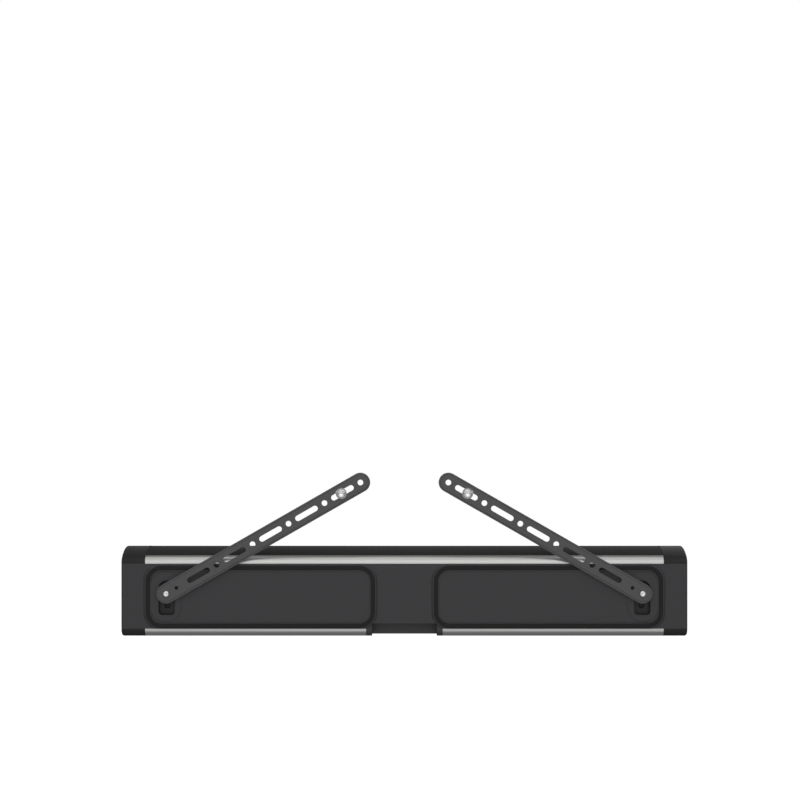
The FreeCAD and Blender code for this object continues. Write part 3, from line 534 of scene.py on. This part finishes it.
def woven(name, base):
    """Plain weave of two-ply yarn with lighter flecks, on the cloth's own coordinates."""
    f = Finish(name)
    flat = f.node("ShaderNodeUVMap", {"uv_map": "cloth"})
    turn = 2 * math.pi / sizes().yarn
    across = f.node("ShaderNodeSeparateXYZ", {}, {0: flat}, out=0)
    along = f.node("ShaderNodeSeparateXYZ", {}, {0: flat}, out=1)
    wander = f.noise(60, 2, 0.5) * 0.5
    warp = (across * turn + wander).sine()
    weft = (along * turn + wander).sine()
    over = warp * weft
    yarn = (warp * warp).most(weft * weft)
    ply = f.noise(5200, 3, 0.65)
    height = over * 0.35 + yarn * 0.5 + ply * 0.35
    fleck = f.noise(900, 2, 0.6, f.scaled(1.0, 2.6, 2.6)).step(0.6, 0.72)
    dull = f.noise(14, 3, 0.5)
    tone = over.between(0.75, 1.15) * ply.between(0.75, 1.3) * dull.between(0.92, 1.08)
    body = f.blend(fleck * 0.5, f.shade(base, tone), (0.11, 0.11, 0.113))
    return f.surface(Base_Color=body, Roughness=ply.between(0.78, 0.95), Normal=f.bump(height, 0.00025),
                     Sheen_Weight=0.25, Sheen_Roughness=0.45, Specular_IOR_Level=0.25)


def matted(name, base, scale, depth, rough):
    """Pressed pulp, foam or impregnated cloth."""
    f = Finish(name)
    fibres = f.noise(scale, 5, 0.7, twist=0.6)
    knots = f.cells(scale * 0.45)
    tone = fibres.between(0.6, 1.4) * knots.between(0.85, 1.1)
    return f.surface(Base_Color=f.shade(base, tone), Roughness=fibres.between(rough - 0.06, rough + 0.06),
                     Normal=f.bump(fibres * 0.7 + knots * 0.3, depth))


def solder_mask(name):
    """Circuit board with the tracks that show under its green mask."""
    f = Finish(name)
    lanes = f.scaled(900, 900, 900)
    sockets = {"Vector": lanes, "Scale": 1.0, "Mortar Size": 0.12, "Brick Width": 7.0, "Row Height": 1.4}
    tracks = f.node("ShaderNodeTexBrick", {"offset": 0.37}, sockets, out=1)
    grime = f.noise(60, 3, 0.5)
    body = f.blend(tracks * 0.7, (0.012, 0.075, 0.03), (0.03, 0.16, 0.06))
    return f.surface(Base_Color=f.blend(grime * 0.3, body, (0.01, 0.03, 0.015)),
                     Roughness=tracks.between(0.32, 0.45), Normal=f.bump(tracks, 0.00004))


def clear_light_pipe(name):
    f = Finish(name)
    cloud = f.noise(900, 3, 0.5)
    return f.surface(Base_Color=f.shade((0.86, 0.9, 0.9), cloud.between(0.9, 1.0)),
                     Roughness=cloud.between(0.12, 0.3), Normal=f.bump(cloud, 0.00002),
                     Transmission_Weight=0.6, IOR=1.49)


def floor_paint(name):
    """Pale studio floor, lit through so that no edge shows behind the bar."""
    f = Finish(name)
    cloud = f.noise(2.5, 3, 0.5)
    return f.surface(Base_Color=f.shade((0.8, 0.8, 0.79), cloud.between(0.96, 1.04)),
                     Roughness=cloud.between(0.7, 0.85), Normal=f.bump(cloud, 0.001),
                     Emission_Color=(1.0, 1.0, 1.0), Emission_Strength=0.9)


def make_finishes():
    c = colours()
    casing = tuple(c.casing)
    rubber = tuple(c.rubber)
    moulded("grey_moulding", tuple(c.panel), 0.0006, 0.00005, 0.5, wear_highlight=0.3)
    moulded("black_moulding", casing, 0.0005, 0.00004, 0.52, wear_highlight=0.2)
    moulded("bay_moulding", (0.04, 0.04, 0.041), 0.0005, 0.00004, 0.52, wear_highlight=0.2)
    moulded("cap_plastic", tuple(v * 1.25 for v in casing), 0.0004, 0.00002, 0.4, wear_highlight=0.25)
    moulded("socket_plastic", (0.011, 0.011, 0.012), 0.0003, 0.00002, 0.38)
    moulded("button_plastic", (0.03, 0.03, 0.032), 0.0003, 0.00002, 0.4, wear_highlight=0.4)
    moulded("spacer_nylon", (0.028, 0.028, 0.029), 0.0005, 0.00002, 0.42)
    brushed("edge_aluminium", tuple(c.strip), 0.34)
    brushed("heatsink_aluminium", (0.4, 0.4, 0.41), 0.42, (1500, 1500, 30))
    rubbery("ring_rubber", rubber)
    coated("arm_powder_coat", tuple(c.arm))
    coated("recess_plastic", (0.022, 0.022, 0.023))
    coated("basket_steel", (0.03, 0.03, 0.031))
    turned_metal("turned_steel", (0.42, 0.42, 0.43), 0.34)
    turned_metal("bright_zinc", tuple(c.bright), 0.46)
    turned_metal("small_screws", (0.1, 0.1, 0.105), 0.38)
    turned_metal("magnet_iron", (0.3, 0.3, 0.3), 0.4)
    turned_metal("gold_contact", (0.83, 0.6, 0.24), 0.22)
    woven("grille_fabric", tuple(c.cloth))
    matted("spider_cloth", (0.3, 0.2, 0.08), 1800, 0.0001, 0.8)
    matted("gasket_foam", (0.03, 0.03, 0.03), 1200, 0.0002, 0.9)
    matted("cone_paper", (0.03, 0.03, 0.031), 900, 0.00012, 0.72)
    matted("dome_silk", (0.018, 0.018, 0.018), 2600, 0.00008, 0.5)
    solder_mask("circuit_board")
    clear_light_pipe("light_pipe_plastic")
    floor_paint("studio_floor")


class SOUNDBAR_OT_finish_frame(bpy.types.Operator):
    """Make every finish and put it on the frame's own parts"""

    bl_idname = "soundbar.finish_frame"
    bl_label = "Finish the Frame"

    def execute(self, context):
        make_finishes()
        for node, part in frame["nodes"].items():
            finish = bpy.data.materials[slot_of(node)]
            part.data.materials.clear()
            part.data.materials.append(finish)
        return {"FINISHED"}


# ---- Casing ----

EASED_PARTS = ("rear_panel", "cable_bay", "end_cap_left", "end_cap_right", "keyhole_plate_left",
               "keyhole_plate_right")


class SOUNDBAR_OT_ease_casing(bpy.types.Operator):
    """Round the edges of the mouldings that show"""

    bl_idname = "soundbar.ease_casing"
    bl_label = "Ease the Casing"

    def execute(self, context):
        for node in EASED_PARTS:
            ease(node, sizes().ease, node + "_moulding", "bay_moulding" if node == "cable_bay" else None)
        return {"FINISHED"}


def ring_grower():
    """Rubber section swept round a rounded rectangle."""
    low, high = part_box("foot_ring_left")
    inputs = {"Length": high.x - low.x, "Height": high.z - low.z, "Width": 0.0067, "Depth": high.y - low.y,
              "Corner": sizes().ring_corner, "Round": sizes().ring_round,
              "Place": 0.0, "Level": 0.0, "Back": 0.0}
    g = Grower("foot_ring", inputs, "ring_rubber")
    width = g.size("Width")
    path = g.node("GeometryNodeCurvePrimitiveQuadrilateral", {},
                  {0: g.size("Length") - width, 1: g.size("Height") - width})
    path = g.node("GeometryNodeFilletCurve", {"mode": "POLY"},
                  {"Curve": path, "Radius": g.size("Corner"), "Count": 24})
    section = g.node("GeometryNodeCurvePrimitiveQuadrilateral", {}, {0: width, 1: g.size("Depth")})
    section = g.node("GeometryNodeFilletCurve", {"mode": "POLY"},
                     {"Curve": section, "Radius": g.size("Round"), "Count": 5})
    ring = g.node("GeometryNodeCurveToMesh", {}, {"Curve": path, "Profile Curve": section})
    ring = g.moved(ring, rotation=(math.pi / 2, 0, 0))
    return g.finished(g.moved(ring, g.vector(g.size("Place"), g.size("Back"), g.size("Level"))))


class SOUNDBAR_OT_seat_rings(bpy.types.Operator):
    """Sweep the two rubber foot rings"""

    bl_idname = "soundbar.seat_rings"
    bl_label = "Seat the Foot Rings"

    def execute(self, context):
        grower = ring_grower()
        for side in SIDES:
            node = "foot_ring_" + side
            low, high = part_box(node)
            middle = (low + high) / 2
            piece = grower.grown("rubber_ring_" + side, Place=middle.x, Level=middle.z, Back=middle.y)
            bm = bmesh.new()
            bm.from_mesh(piece.data)
            bmesh.ops.recalc_face_normals(bm, faces=bm.faces)
            bm.to_mesh(piece.data)
            bm.free()
            hand_over(shade(piece), "ring_rubber", "ring_rubber", "cabinet", node)
        return {"FINISHED"}


# ---- Cloth ----

def end_outline(node):
    """The outline of a node's end face, as (y, z) points in order."""
    bm = bmesh.new()
    bm.from_mesh(frame["nodes"][node].data)
    bmesh.ops.remove_doubles(bm, verts=bm.verts, dist=WELD)
    bm.normal_update()
    end = {face for face in bm.faces if face.normal.x > 0.99}
    rim = [edge for edge in bm.edges if sum(face in end for face in edge.link_faces) == 1]
    following = {}
    for edge in rim:
        a, b = edge.verts
        following.setdefault(a, []).append(b)
        following.setdefault(b, []).append(a)
    start = rim[0].verts[0]
    points = [start]
    before, here = None, start
    while True:
        ahead = next(v for v in following[here] if v != before)
        if ahead == start:
            break
        points.append(ahead)
        before, here = here, ahead
    outline = [Vector((v.co.y, v.co.z)) for v in points]
    bm.free()
    return outline


def outer_run(outline):
    """The longer of an outline's two long sides, from its underside end to its top end."""
    count = len(outline)
    corners = []
    for i, point in enumerate(outline):
        a = (point - outline[i - 1]).normalized()
        b = (outline[(i + 1) % count] - point).normalized()
        if a.dot(b) < 0.6:
            corners.append(i)
    runs = []
    for i, first in enumerate(corners):
        last = corners[(i + 1) % len(corners)]
        runs.append([outline[(first + k) % count] for k in range((last - first) % count + 1)])
    longest = max(runs, key=run_length)
    return longest if longest[0].y < longest[-1].y else longest[::-1]


def run_length(run):
    return sum((b - a).length for a, b in zip(run, run[1:]))


def evenly(run, count):
    """Points at equal steps along a run."""
    total = run_length(run)
    points = []
    step, walked, k = total / count, 0.0, 0
    for i in range(count + 1):
        want = min(i * step, total - 1e-9)
        while walked + (run[k + 1] - run[k]).length < want:
            walked += (run[k + 1] - run[k]).length
            k += 1
        edge = run[k + 1] - run[k]
        points.append(run[k] + edge * ((want - walked) / edge.length))
    return points


def frame_windows():
    """Each window of the grille frame: middle, half width, and half height as a share of the cloth."""
    windows = []
    for nodes, edge, tall in ((["woofer_cone_%d" % i for i in range(1, 7)], 0.009, 0.26),
                              (["tweeter_dome_" + w for w in ("left", "centre", "right")], 0.011, 0.14)):
        for node in nodes:
            low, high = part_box(node)
            windows.append(((low.x + high.x) / 2, (high.x - low.x) / 2 + edge, tall))
    return windows


def window_dip(windows, x, share):
    """0 on the grille frame and 1 in the middle of one of its windows."""
    lift = 0.0
    for middle, half, tall in windows:
        far = abs(x - middle) / half
        up = abs(share - 0.47) / tall
        if far < 1 and up < 1:
            lift = max(lift, (1 - far ** 3) * (1 - up ** 3))
    return lift


class SOUNDBAR_OT_stretch_cloth(bpy.types.Operator):
    """Stretch the woven cloth over the grille frame"""

    bl_idname = "soundbar.stretch_cloth"
    bl_label = "Stretch the Grille Cloth"

    def execute(self, context):
        low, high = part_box("grille_cloth")
        thick = sizes().cloth_thickness
        run = evenly(outer_run(end_outline("grille_cloth")), 96)
        length = run_length(run)
        count = 206
        xs = [low.x + (high.x - low.x) * i / count for i in range(count + 1)]
        windows = frame_windows()
        bm = bmesh.new()
        uv = bm.loops.layers.uv.new("cloth")
        rows = []
        for j, point in enumerate(run):
            ahead = run[min(j + 1, len(run) - 1)] - run[max(j - 1, 0)]
            inwards = Vector((ahead.y, -ahead.x)).normalized()
            if inwards.x < 0 and 0.2 < j / len(run) < 0.8:
                inwards = -inwards
            share = j / (len(run) - 1)
            row = []
            for x in xs:
                dip = sizes().cloth_sag * window_dip(windows, x, share)
                to_end = min(x - low.x, high.x - x)
                tuck = max(0.0, 0.0012 - to_end) * 0.4
                place = point + inwards * (dip + tuck + 0.00002)
                row.append(bm.verts.new((x, place.x, place.y)))
            rows.append(row)
        for j in range(len(rows) - 1):
            for i in range(count):
                corners = (rows[j][i], rows[j][i + 1], rows[j + 1][i + 1], rows[j + 1][i])
                face = bm.faces.new(corners)
                spots = ((i, j), (i + 1, j), (i + 1, j + 1), (i, j + 1))
                for loop, (a, b) in zip(face.loops, spots):
                    loop[uv].uv = (xs[a], b * length / (len(run) - 1))
        bm.normal_update()
        middle = rows[len(rows) // 2][count // 2].link_faces[0]
        if middle.normal.y > 0:
            bmesh.ops.reverse_faces(bm, faces=bm.faces)
        piece = add_piece(mesh_from(bm, "woven_cloth"), "woven_cloth")
        wall = piece.modifiers.new("thickness", "SOLIDIFY")
        wall.thickness = thick
        wall.offset = -1.0
        evaluated(piece)
        piece.data.shade_smooth()
        piece.data.set_sharp_from_angle(angle=math.radians(50))
        hand_over(piece, "grille_fabric", "grille_fabric", "cabinet", "grille_cloth")
        return {"FINISHED"}


# ---- Arms and fixings ----

def mark_step(piece, side):
    """Marks the foot of the arm's raised middle, where painted shade darkens the coating."""
    low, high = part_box("arm_" + side)
    pin_low, pin_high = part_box("pivot_screw_" + side)
    near = Vector((pin_low.x + pin_high.x, pin_low.z + pin_high.z)) / 2
    radius = near.y - low.z
    inwards = -1 if side == "right" else 1
    far = Vector((high.x - radius if inwards > 0 else low.x + radius, high.z - radius))
    reach = far - near
    ledge = low.y + ARM_LEDGE
    values = []
    for vert in piece.data.vertices:
        place = Vector((vert.co.x, vert.co.z)) - near
        along = max(0.0, min(1.0, place.dot(reach) / reach.length_squared))
        away = (place - reach * along).length
        inside = radius - STEP_RIM[1] < away < radius - STEP_RIM[0]
        values.append(1.0 if inside and ledge - 0.0003 < vert.co.y < ledge + 0.0012 else 0.0)
    piece.data.attributes.new("step_foot", "FLOAT", "POINT").data.foreach_set("value", values)
    return piece


class SOUNDBAR_OT_ease_arms(bpy.types.Operator):
    """Round the pressed edges of the arms, the studs behind them and the washers' spacers"""

    bl_idname = "soundbar.ease_arms"
    bl_label = "Ease the Arms"

    def execute(self, context):
        for side in SIDES:
            mark_step(ease("arm_" + side, sizes().arm_ease, "pressed_arm_" + side), side)
            ease("hook_stud_" + side, sizes().arm_ease, "turned_stud_" + side)
            ease("tv_spacer_" + side, sizes().arm_ease, "spacer_" + side)
        return {"FINISHED"}


def thread_grower(core, length):
    """Ridge of a screw thread: a triangular section along a helix."""
    s = sizes()
    inputs = {"Core": core, "Pitch": s.thread_pitch, "Depth": s.thread_depth, "Length": length,
              "X": 0.0, "Y": 0.0, "Z": 0.0}
    g = Grower("screw_thread", inputs, "bright_zinc")
    turns = g.size("Length") / g.size("Pitch")
    helix = g.node("GeometryNodeCurveSpiral", {},
                   {"Resolution": 40, "Rotations": turns, "Start Radius": g.size("Core"),
                    "End Radius": g.size("Core"), "Height": g.size("Length")})
    section = g.node("GeometryNodeCurvePrimitiveCircle", {}, {"Resolution": 4, "Radius": g.size("Depth")})
    ridge = g.node("GeometryNodeCurveToMesh", {},
                   {"Curve": helix, "Profile Curve": section, "Fill Caps": True})
    ridge = g.moved(ridge, rotation=(math.pi / 2, 0, 0))
    return g.finished(g.moved(ridge, g.vector(g.size("X"), g.size("Y"), g.size("Z"))))


def tv_screw_rows(seat, top, end):
    """Button head with a hexagonal socket, a shank and the core of the thread."""
    rows = [(top - 0.0026, 0), (top - 0.0023, 0.0016), (top - 0.0022, 0.00292, "hex"),
            (top - 0.0003, 0.00292, "hex"), (top, 0.0036)]
    rows += arc_rows(top, 0.0068, 0.0016)
    rows += [(seat + 0.0003, 0.0068), (seat, 0.0064), (seat, 0.0037), (0.0003, 0.0037), (0.0, 0.0034),
             (end + 0.0008, 0.0034), (end, 0.0027), (end, 0)]
    return rows


def pivot_screw_rows(seat, top, end):
    rows = [(top - 0.0016, 0), (top - 0.0015, 0.0008), (top - 0.0014, 0.00128, "hex"),
            (top - 0.0002, 0.00128, "hex"), (top, 0.0017)]
    rows += arc_rows(top, 0.00475, 0.0014)
    rows += [(seat + 0.0002, 0.00475), (seat, 0.0045), (seat, 0.003), (seat - 0.0026, 0.003),
             (seat - 0.0026, 0.002), (end + 0.0004, 0.002), (end, 0.0016), (end, 0)]
    return rows


def washer_rows(low, high, inner, outer):
    e = 0.0003
    return [(low, inner + e), (low + e, inner), (high - e, inner), (high, inner + e), (high, outer - e),
            (high - e, outer), (low + e, outer), (low, outer - e)]


class SOUNDBAR_OT_turn_screws(bpy.types.Operator):
    """Turn the screws and washers that hold the arms, and cut their threads"""

    bl_idname = "soundbar.turn_screws"
    bl_label = "Turn the Screws"

    def execute(self, context):
        for side in SIDES:
            low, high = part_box("tv_screw_" + side)
            washer_low, washer_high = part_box("tv_washer_" + side)
            x, z = (low.x + high.x) / 2, (low.z + high.z) / 2
            self.turned("television_screw_" + side, tv_screw_rows(washer_high.y, high.y, low.y), x, z,
                        "tv_screw_" + side)
            rows = washer_rows(washer_low.y, washer_high.y, WASHER_BORE, (washer_high.x - washer_low.x) / 2)
            self.turned("washer_" + side, rows, x, z, "tv_washer_" + side, closed=True)
            grower = thread_grower(TV_SCREW_CORE, -low.y - TV_SCREW_POINT)
            ridge = grower.grown("screw_thread_" + side, X=x, Y=-0.0004, Z=z)
            hand_over(shade(ridge), "bright_zinc", "bright_zinc", body_of("tv_screw_" + side))
            low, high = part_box("pivot_screw_" + side)
            x, z = (low.x + high.x) / 2, (low.z + high.z) / 2
            self.turned("shoulder_screw_" + side, pivot_screw_rows(high.y - PIVOT_HEAD, high.y, low.y), x, z,
                        "pivot_screw_" + side)
        return {"FINISHED"}

    def turned(self, name, rows, x, z, node, closed=False):
        bm = bmesh.new()
        lathe(bm, rows, x, z, closed)
        piece = shade(add_piece(mesh_from(bm, name), name))
        return hand_over(piece, "bright_zinc", "bright_zinc", body_of(node), node)


# ---- Sockets and buttons ----

def contact_grower():
    """Row of sprung wires, bent down into a network socket."""
    inputs = {"Count": sizes().contact_count, "Spacing": 0.00102, "Wire": 0.00022, "Drop": 0.009,
              "Lean": 0.0024, "X": 0.0, "Y": 0.0, "Z": 0.0}
    g = Grower("socket_contacts", inputs, "gold_contact")
    wire = g.node("GeometryNodeCurvePrimitiveBezierSegment", {},
                  {"Start": (0, 0, 0), "Start Handle": g.vector(0, 0, g.size("Drop") * 0.5),
                   "End Handle": g.vector(0, g.size("Lean"), g.size("Drop") * 0.7),
                   "End": g.vector(0, g.size("Lean") * 0.4, g.size("Drop"))})
    round_wire = g.node("GeometryNodeCurvePrimitiveCircle", {}, {"Resolution": 8, "Radius": g.size("Wire")})
    wire = g.node("GeometryNodeCurveToMesh", {},
                  {"Curve": wire, "Profile Curve": round_wire, "Fill Caps": True})
    places = g.node("GeometryNodeMeshLine", {},
                    {"Count": g.size("Count"), "Offset": g.vector(g.size("Spacing"))})
    row = g.node("GeometryNodeInstanceOnPoints", {}, {"Points": places, "Instance": wire})
    start = g.size("X") - (g.size("Count") - 1) * g.size("Spacing") * 0.5
    return g.finished(g.moved(row, g.vector(start, g.size("Y"), g.size("Z"))))


class SOUNDBAR_OT_fit_contacts(bpy.types.Operator):
    """Put the contacts into the network sockets and the pins into the mains inlet"""

    bl_idname = "soundbar.fit_contacts"
    bl_label = "Fit the Contacts"

    def execute(self, context):
        grower = contact_grower()
        mouths = {o["name"]: o["box_m"] for o in frame["record"]["physics"]["openings"]}
        for i in (1, 2):
            low, high = (Vector(corner) for corner in mouths["network_port_mouth_%d" % i])
            piece = grower.grown("network_contacts_%d" % i, X=(low.x + high.x) / 2, Y=low.y + 0.0003,
                                 Z=high.z - 0.0092)
            hand_over(shade(piece), "gold_contact", "socket_plastic", "cabinet")
        low, high = (Vector(corner) for corner in mouths["power_inlet_mouth"])
        bm = bmesh.new()
        for side in (-1, 1):
            self.pin(bm, (low.x + high.x) / 2 + side * 0.0043, (low.y + high.y) / 2, high.z - 0.0035, 0.0115)
        piece = shade(add_piece(mesh_from(bm, "mains_pins"), "mains_pins"))
        hand_over(piece, "bright_zinc", "socket_plastic", "cabinet")
        return {"FINISHED"}

    def pin(self, bm, x, y, z, height, radius=0.00128, sides=24):
        """Round pin along Z with a domed lower end."""
        rows = [(0.0, 0.0), (0.0002, radius * 0.55), (0.0006, radius * 0.88), (0.0012, radius),
                (height, radius), (height, 0.0)]
        rings = []
        for up, reach in rows:
            turns = [2 * math.pi * i / sides for i in range(sides if reach else 1)]
            rings.append([bm.verts.new((x + reach * math.cos(t), y + reach * math.sin(t), z + up))
                          for t in turns])
        for a, b in zip(rings, rings[1:]):
            for i in range(sides):
                j = (i + 1) % sides
                corners = dict.fromkeys((a[i % len(a)], a[j % len(a)], b[j % len(b)], b[i % len(b)]))
                bm.faces.new(list(corners))
        bmesh.ops.recalc_face_normals(bm, faces=bm.faces)


def prism(bm, outline, x0, x1):
    """Flat shape given in (y, z), between two lengths."""
    rings = [[bm.verts.new((x, y, z)) for y, z in outline] for x in (x0, x1)]
    bm.faces.new(rings[0][::-1])
    bm.faces.new(rings[1])
    for i in range(len(outline)):
        j = (i + 1) % len(outline)
        bm.faces.new((rings[0][i], rings[0][j], rings[1][j], rings[1][i]))
    bmesh.ops.recalc_face_normals(bm, faces=bm.faces)


def bar_sign(y, z, long, thick, upright):
    half_long, half_thick = long / 2, thick / 2
    w, h = (half_thick, half_long) if upright else (half_long, half_thick)
    return [(y - w, z - h), (y + w, z - h), (y + w, z + h), (y - w, z + h)]


class SOUNDBAR_OT_make_buttons(bpy.types.Operator):
    """Ease the buttons and raise a plain sign on each"""

    bl_idname = "soundbar.make_buttons"
    bl_label = "Make the Buttons"

    def execute(self, context):
        for body in ("play", "volume_up", "volume_down"):
            node = body + "_button"
            ease(node, 0.0003, node + "_cap")
            low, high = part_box(node)
            y, z = (low.y + high.y) / 2, (low.z + high.z) / 2
            signs = {"play": [[(y + 0.0012, z - 0.0015), (y - 0.0016, z), (y + 0.0012, z + 0.0015)]],
                     "volume_up": [bar_sign(y, z, 0.0036, 0.0005, False)],
                     "volume_down": [bar_sign(y, z, 0.0036, 0.0005, False)]}[body]
            if body == "volume_up":
                signs += [[(y - 0.00025, z + 0.00025), (y + 0.00025, z + 0.00025), (y + 0.00025, z + 0.0018),
                           (y - 0.00025, z + 0.0018)],
                          [(y - 0.00025, z - 0.0018), (y + 0.00025, z - 0.0018), (y + 0.00025, z - 0.00025),
                           (y - 0.00025, z - 0.00025)]]
            bm = bmesh.new()
            for sign in signs:
                prism(bm, sign, high.x - 0.0001, high.x + 0.00012)
            piece = add_piece(mesh_from(bm, body + "_sign"), body + "_sign")
            hand_over(piece, "spacer_nylon", "button_plastic", body)
        return {"FINISHED"}


# ---- Stage ----

def add_light(name, place, aim, width, height, radiance):
    """Flat soft light with this brightness all over its face."""
    data = bpy.data.lights.new(name, "AREA")
    data.shape = "RECTANGLE"
    data.size = width
    data.size_y = height
    data.energy = radiance * math.pi * width * height
    lamp = bpy.data.objects.new(name, data)
    bpy.context.scene.collection.objects.link(lamp)
    lamp.location = place
    lamp.rotation_mode = "QUATERNION"
    lamp.rotation_quaternion = (Vector(place) - Vector(aim)).to_track_quat("Z", "Y")
    return lamp


def light_room(brightness):
    """Even light from the room, and white behind everything that the camera sees."""
    world = bpy.data.worlds.new("studio")
    bpy.context.scene.world = world
    world.use_nodes = True
    net = Net(world.node_tree)
    seen = net.node("ShaderNodeLightPath", out=0)
    back = world.node_tree.nodes["Background"]
    world.node_tree.links.new((seen * (1.0 - brightness) + brightness).socket, back.inputs["Strength"])
    back.inputs["Color"].default_value = (1, 1, 1, 1)


class SOUNDBAR_OT_set_stage(bpy.types.Operator):
    """Set up the camera, the lights and the floor"""

    bl_idname = "soundbar.set_stage"
    bl_label = "Set the Stage"

    def execute(self, context):
        s = context.scene.soundbar_studio
        data = bpy.data.cameras.new("camera")
        data.lens = s.lens
        camera = bpy.data.objects.new("camera", data)
        context.scene.collection.objects.link(camera)
        camera.location = (s.aside, s.distance, s.height)
        camera.rotation_euler = (math.pi / 2, 0, math.pi)
        context.scene.camera = camera
        context.scene.view_settings.view_transform = "Standard"

        middle = (0, 0, (cad_low.z + cad_high.z) / 2)
        add_light("key", (0.0, 2.6, 1.05), middle, 3.4, 2.2, s.key)
        add_light("low", (0.0, 2.4, -1.25), middle, 3.2, 2.3, s.low)
        add_light("top", (0.0, 0.9, 2.1), middle, 3.2, 1.6, s.top)
        add_light("front", (-0.8, -2.6, 1.0), middle, 3.4, 2.0, s.front)
        for side, name in ((-1, "left_end"), (1, "right_end")):
            add_light(name, (side * 3.2, -0.6, 0.8), middle, 1.8, 1.8, s.ends)
        light_room(s.room)

        floor_z = cad_low.z - FLOOR_DROP
        bm = bmesh.new()
        bmesh.ops.create_circle(bm, cap_ends=True, segments=96, radius=9.0)
        for vert in bm.verts:
            vert.co.z = floor_z
        floor = add_piece(mesh_from(bm, "floor"), "floor")
        floor.data.materials.append(bpy.data.materials["studio_floor"])
        floor.visible_diffuse = False
        floor.visible_glossy = False
        floor.visible_shadow = False
        return {"FINISHED"}


# ---- Panel and registering ----

OPERATORS = (SOUNDBAR_OT_finish_frame, SOUNDBAR_OT_set_stage, SOUNDBAR_OT_ease_casing, SOUNDBAR_OT_seat_rings,
             SOUNDBAR_OT_stretch_cloth, SOUNDBAR_OT_ease_arms, SOUNDBAR_OT_turn_screws,
             SOUNDBAR_OT_fit_contacts, SOUNDBAR_OT_make_buttons)
GROUPS = {"soundbar_colours": SoundbarColours, "soundbar_sizes": SoundbarSizes,
          "soundbar_studio": SoundbarStudio}


class SOUNDBAR_PT_tools(bpy.types.Panel):
    """The soundbar's pieces and settings"""

    bl_idname = "SOUNDBAR_PT_tools"
    bl_label = "Soundbar"
    bl_space_type = "VIEW_3D"
    bl_region_type = "UI"
    bl_category = "Soundbar"

    def draw(self, context):
        for operator in OPERATORS:
            self.layout.operator(operator.bl_idname)
        for name, group in GROUPS.items():
            box = self.layout.box()
            for label in group.__annotations__:
                box.prop(getattr(context.scene, name), label)


def register():
    for group in GROUPS.values():
        bpy.utils.register_class(group)
    for name, group in GROUPS.items():
        setattr(bpy.types.Scene, name, PointerProperty(type=group))
    for operator in OPERATORS:
        bpy.utils.register_class(operator)
    bpy.utils.register_class(SOUNDBAR_PT_tools)


def unregister():
    bpy.utils.unregister_class(SOUNDBAR_PT_tools)
    for operator in reversed(OPERATORS):
        bpy.utils.unregister_class(operator)
    for name, group in GROUPS.items():
        delattr(bpy.types.Scene, name)
        bpy.utils.unregister_class(group)


def main():
    register()
    for operator in OPERATORS:
        section, name = operator.bl_idname.split(".")
        getattr(getattr(bpy.ops, section), name)()


if __name__ == "__main__":
    main()
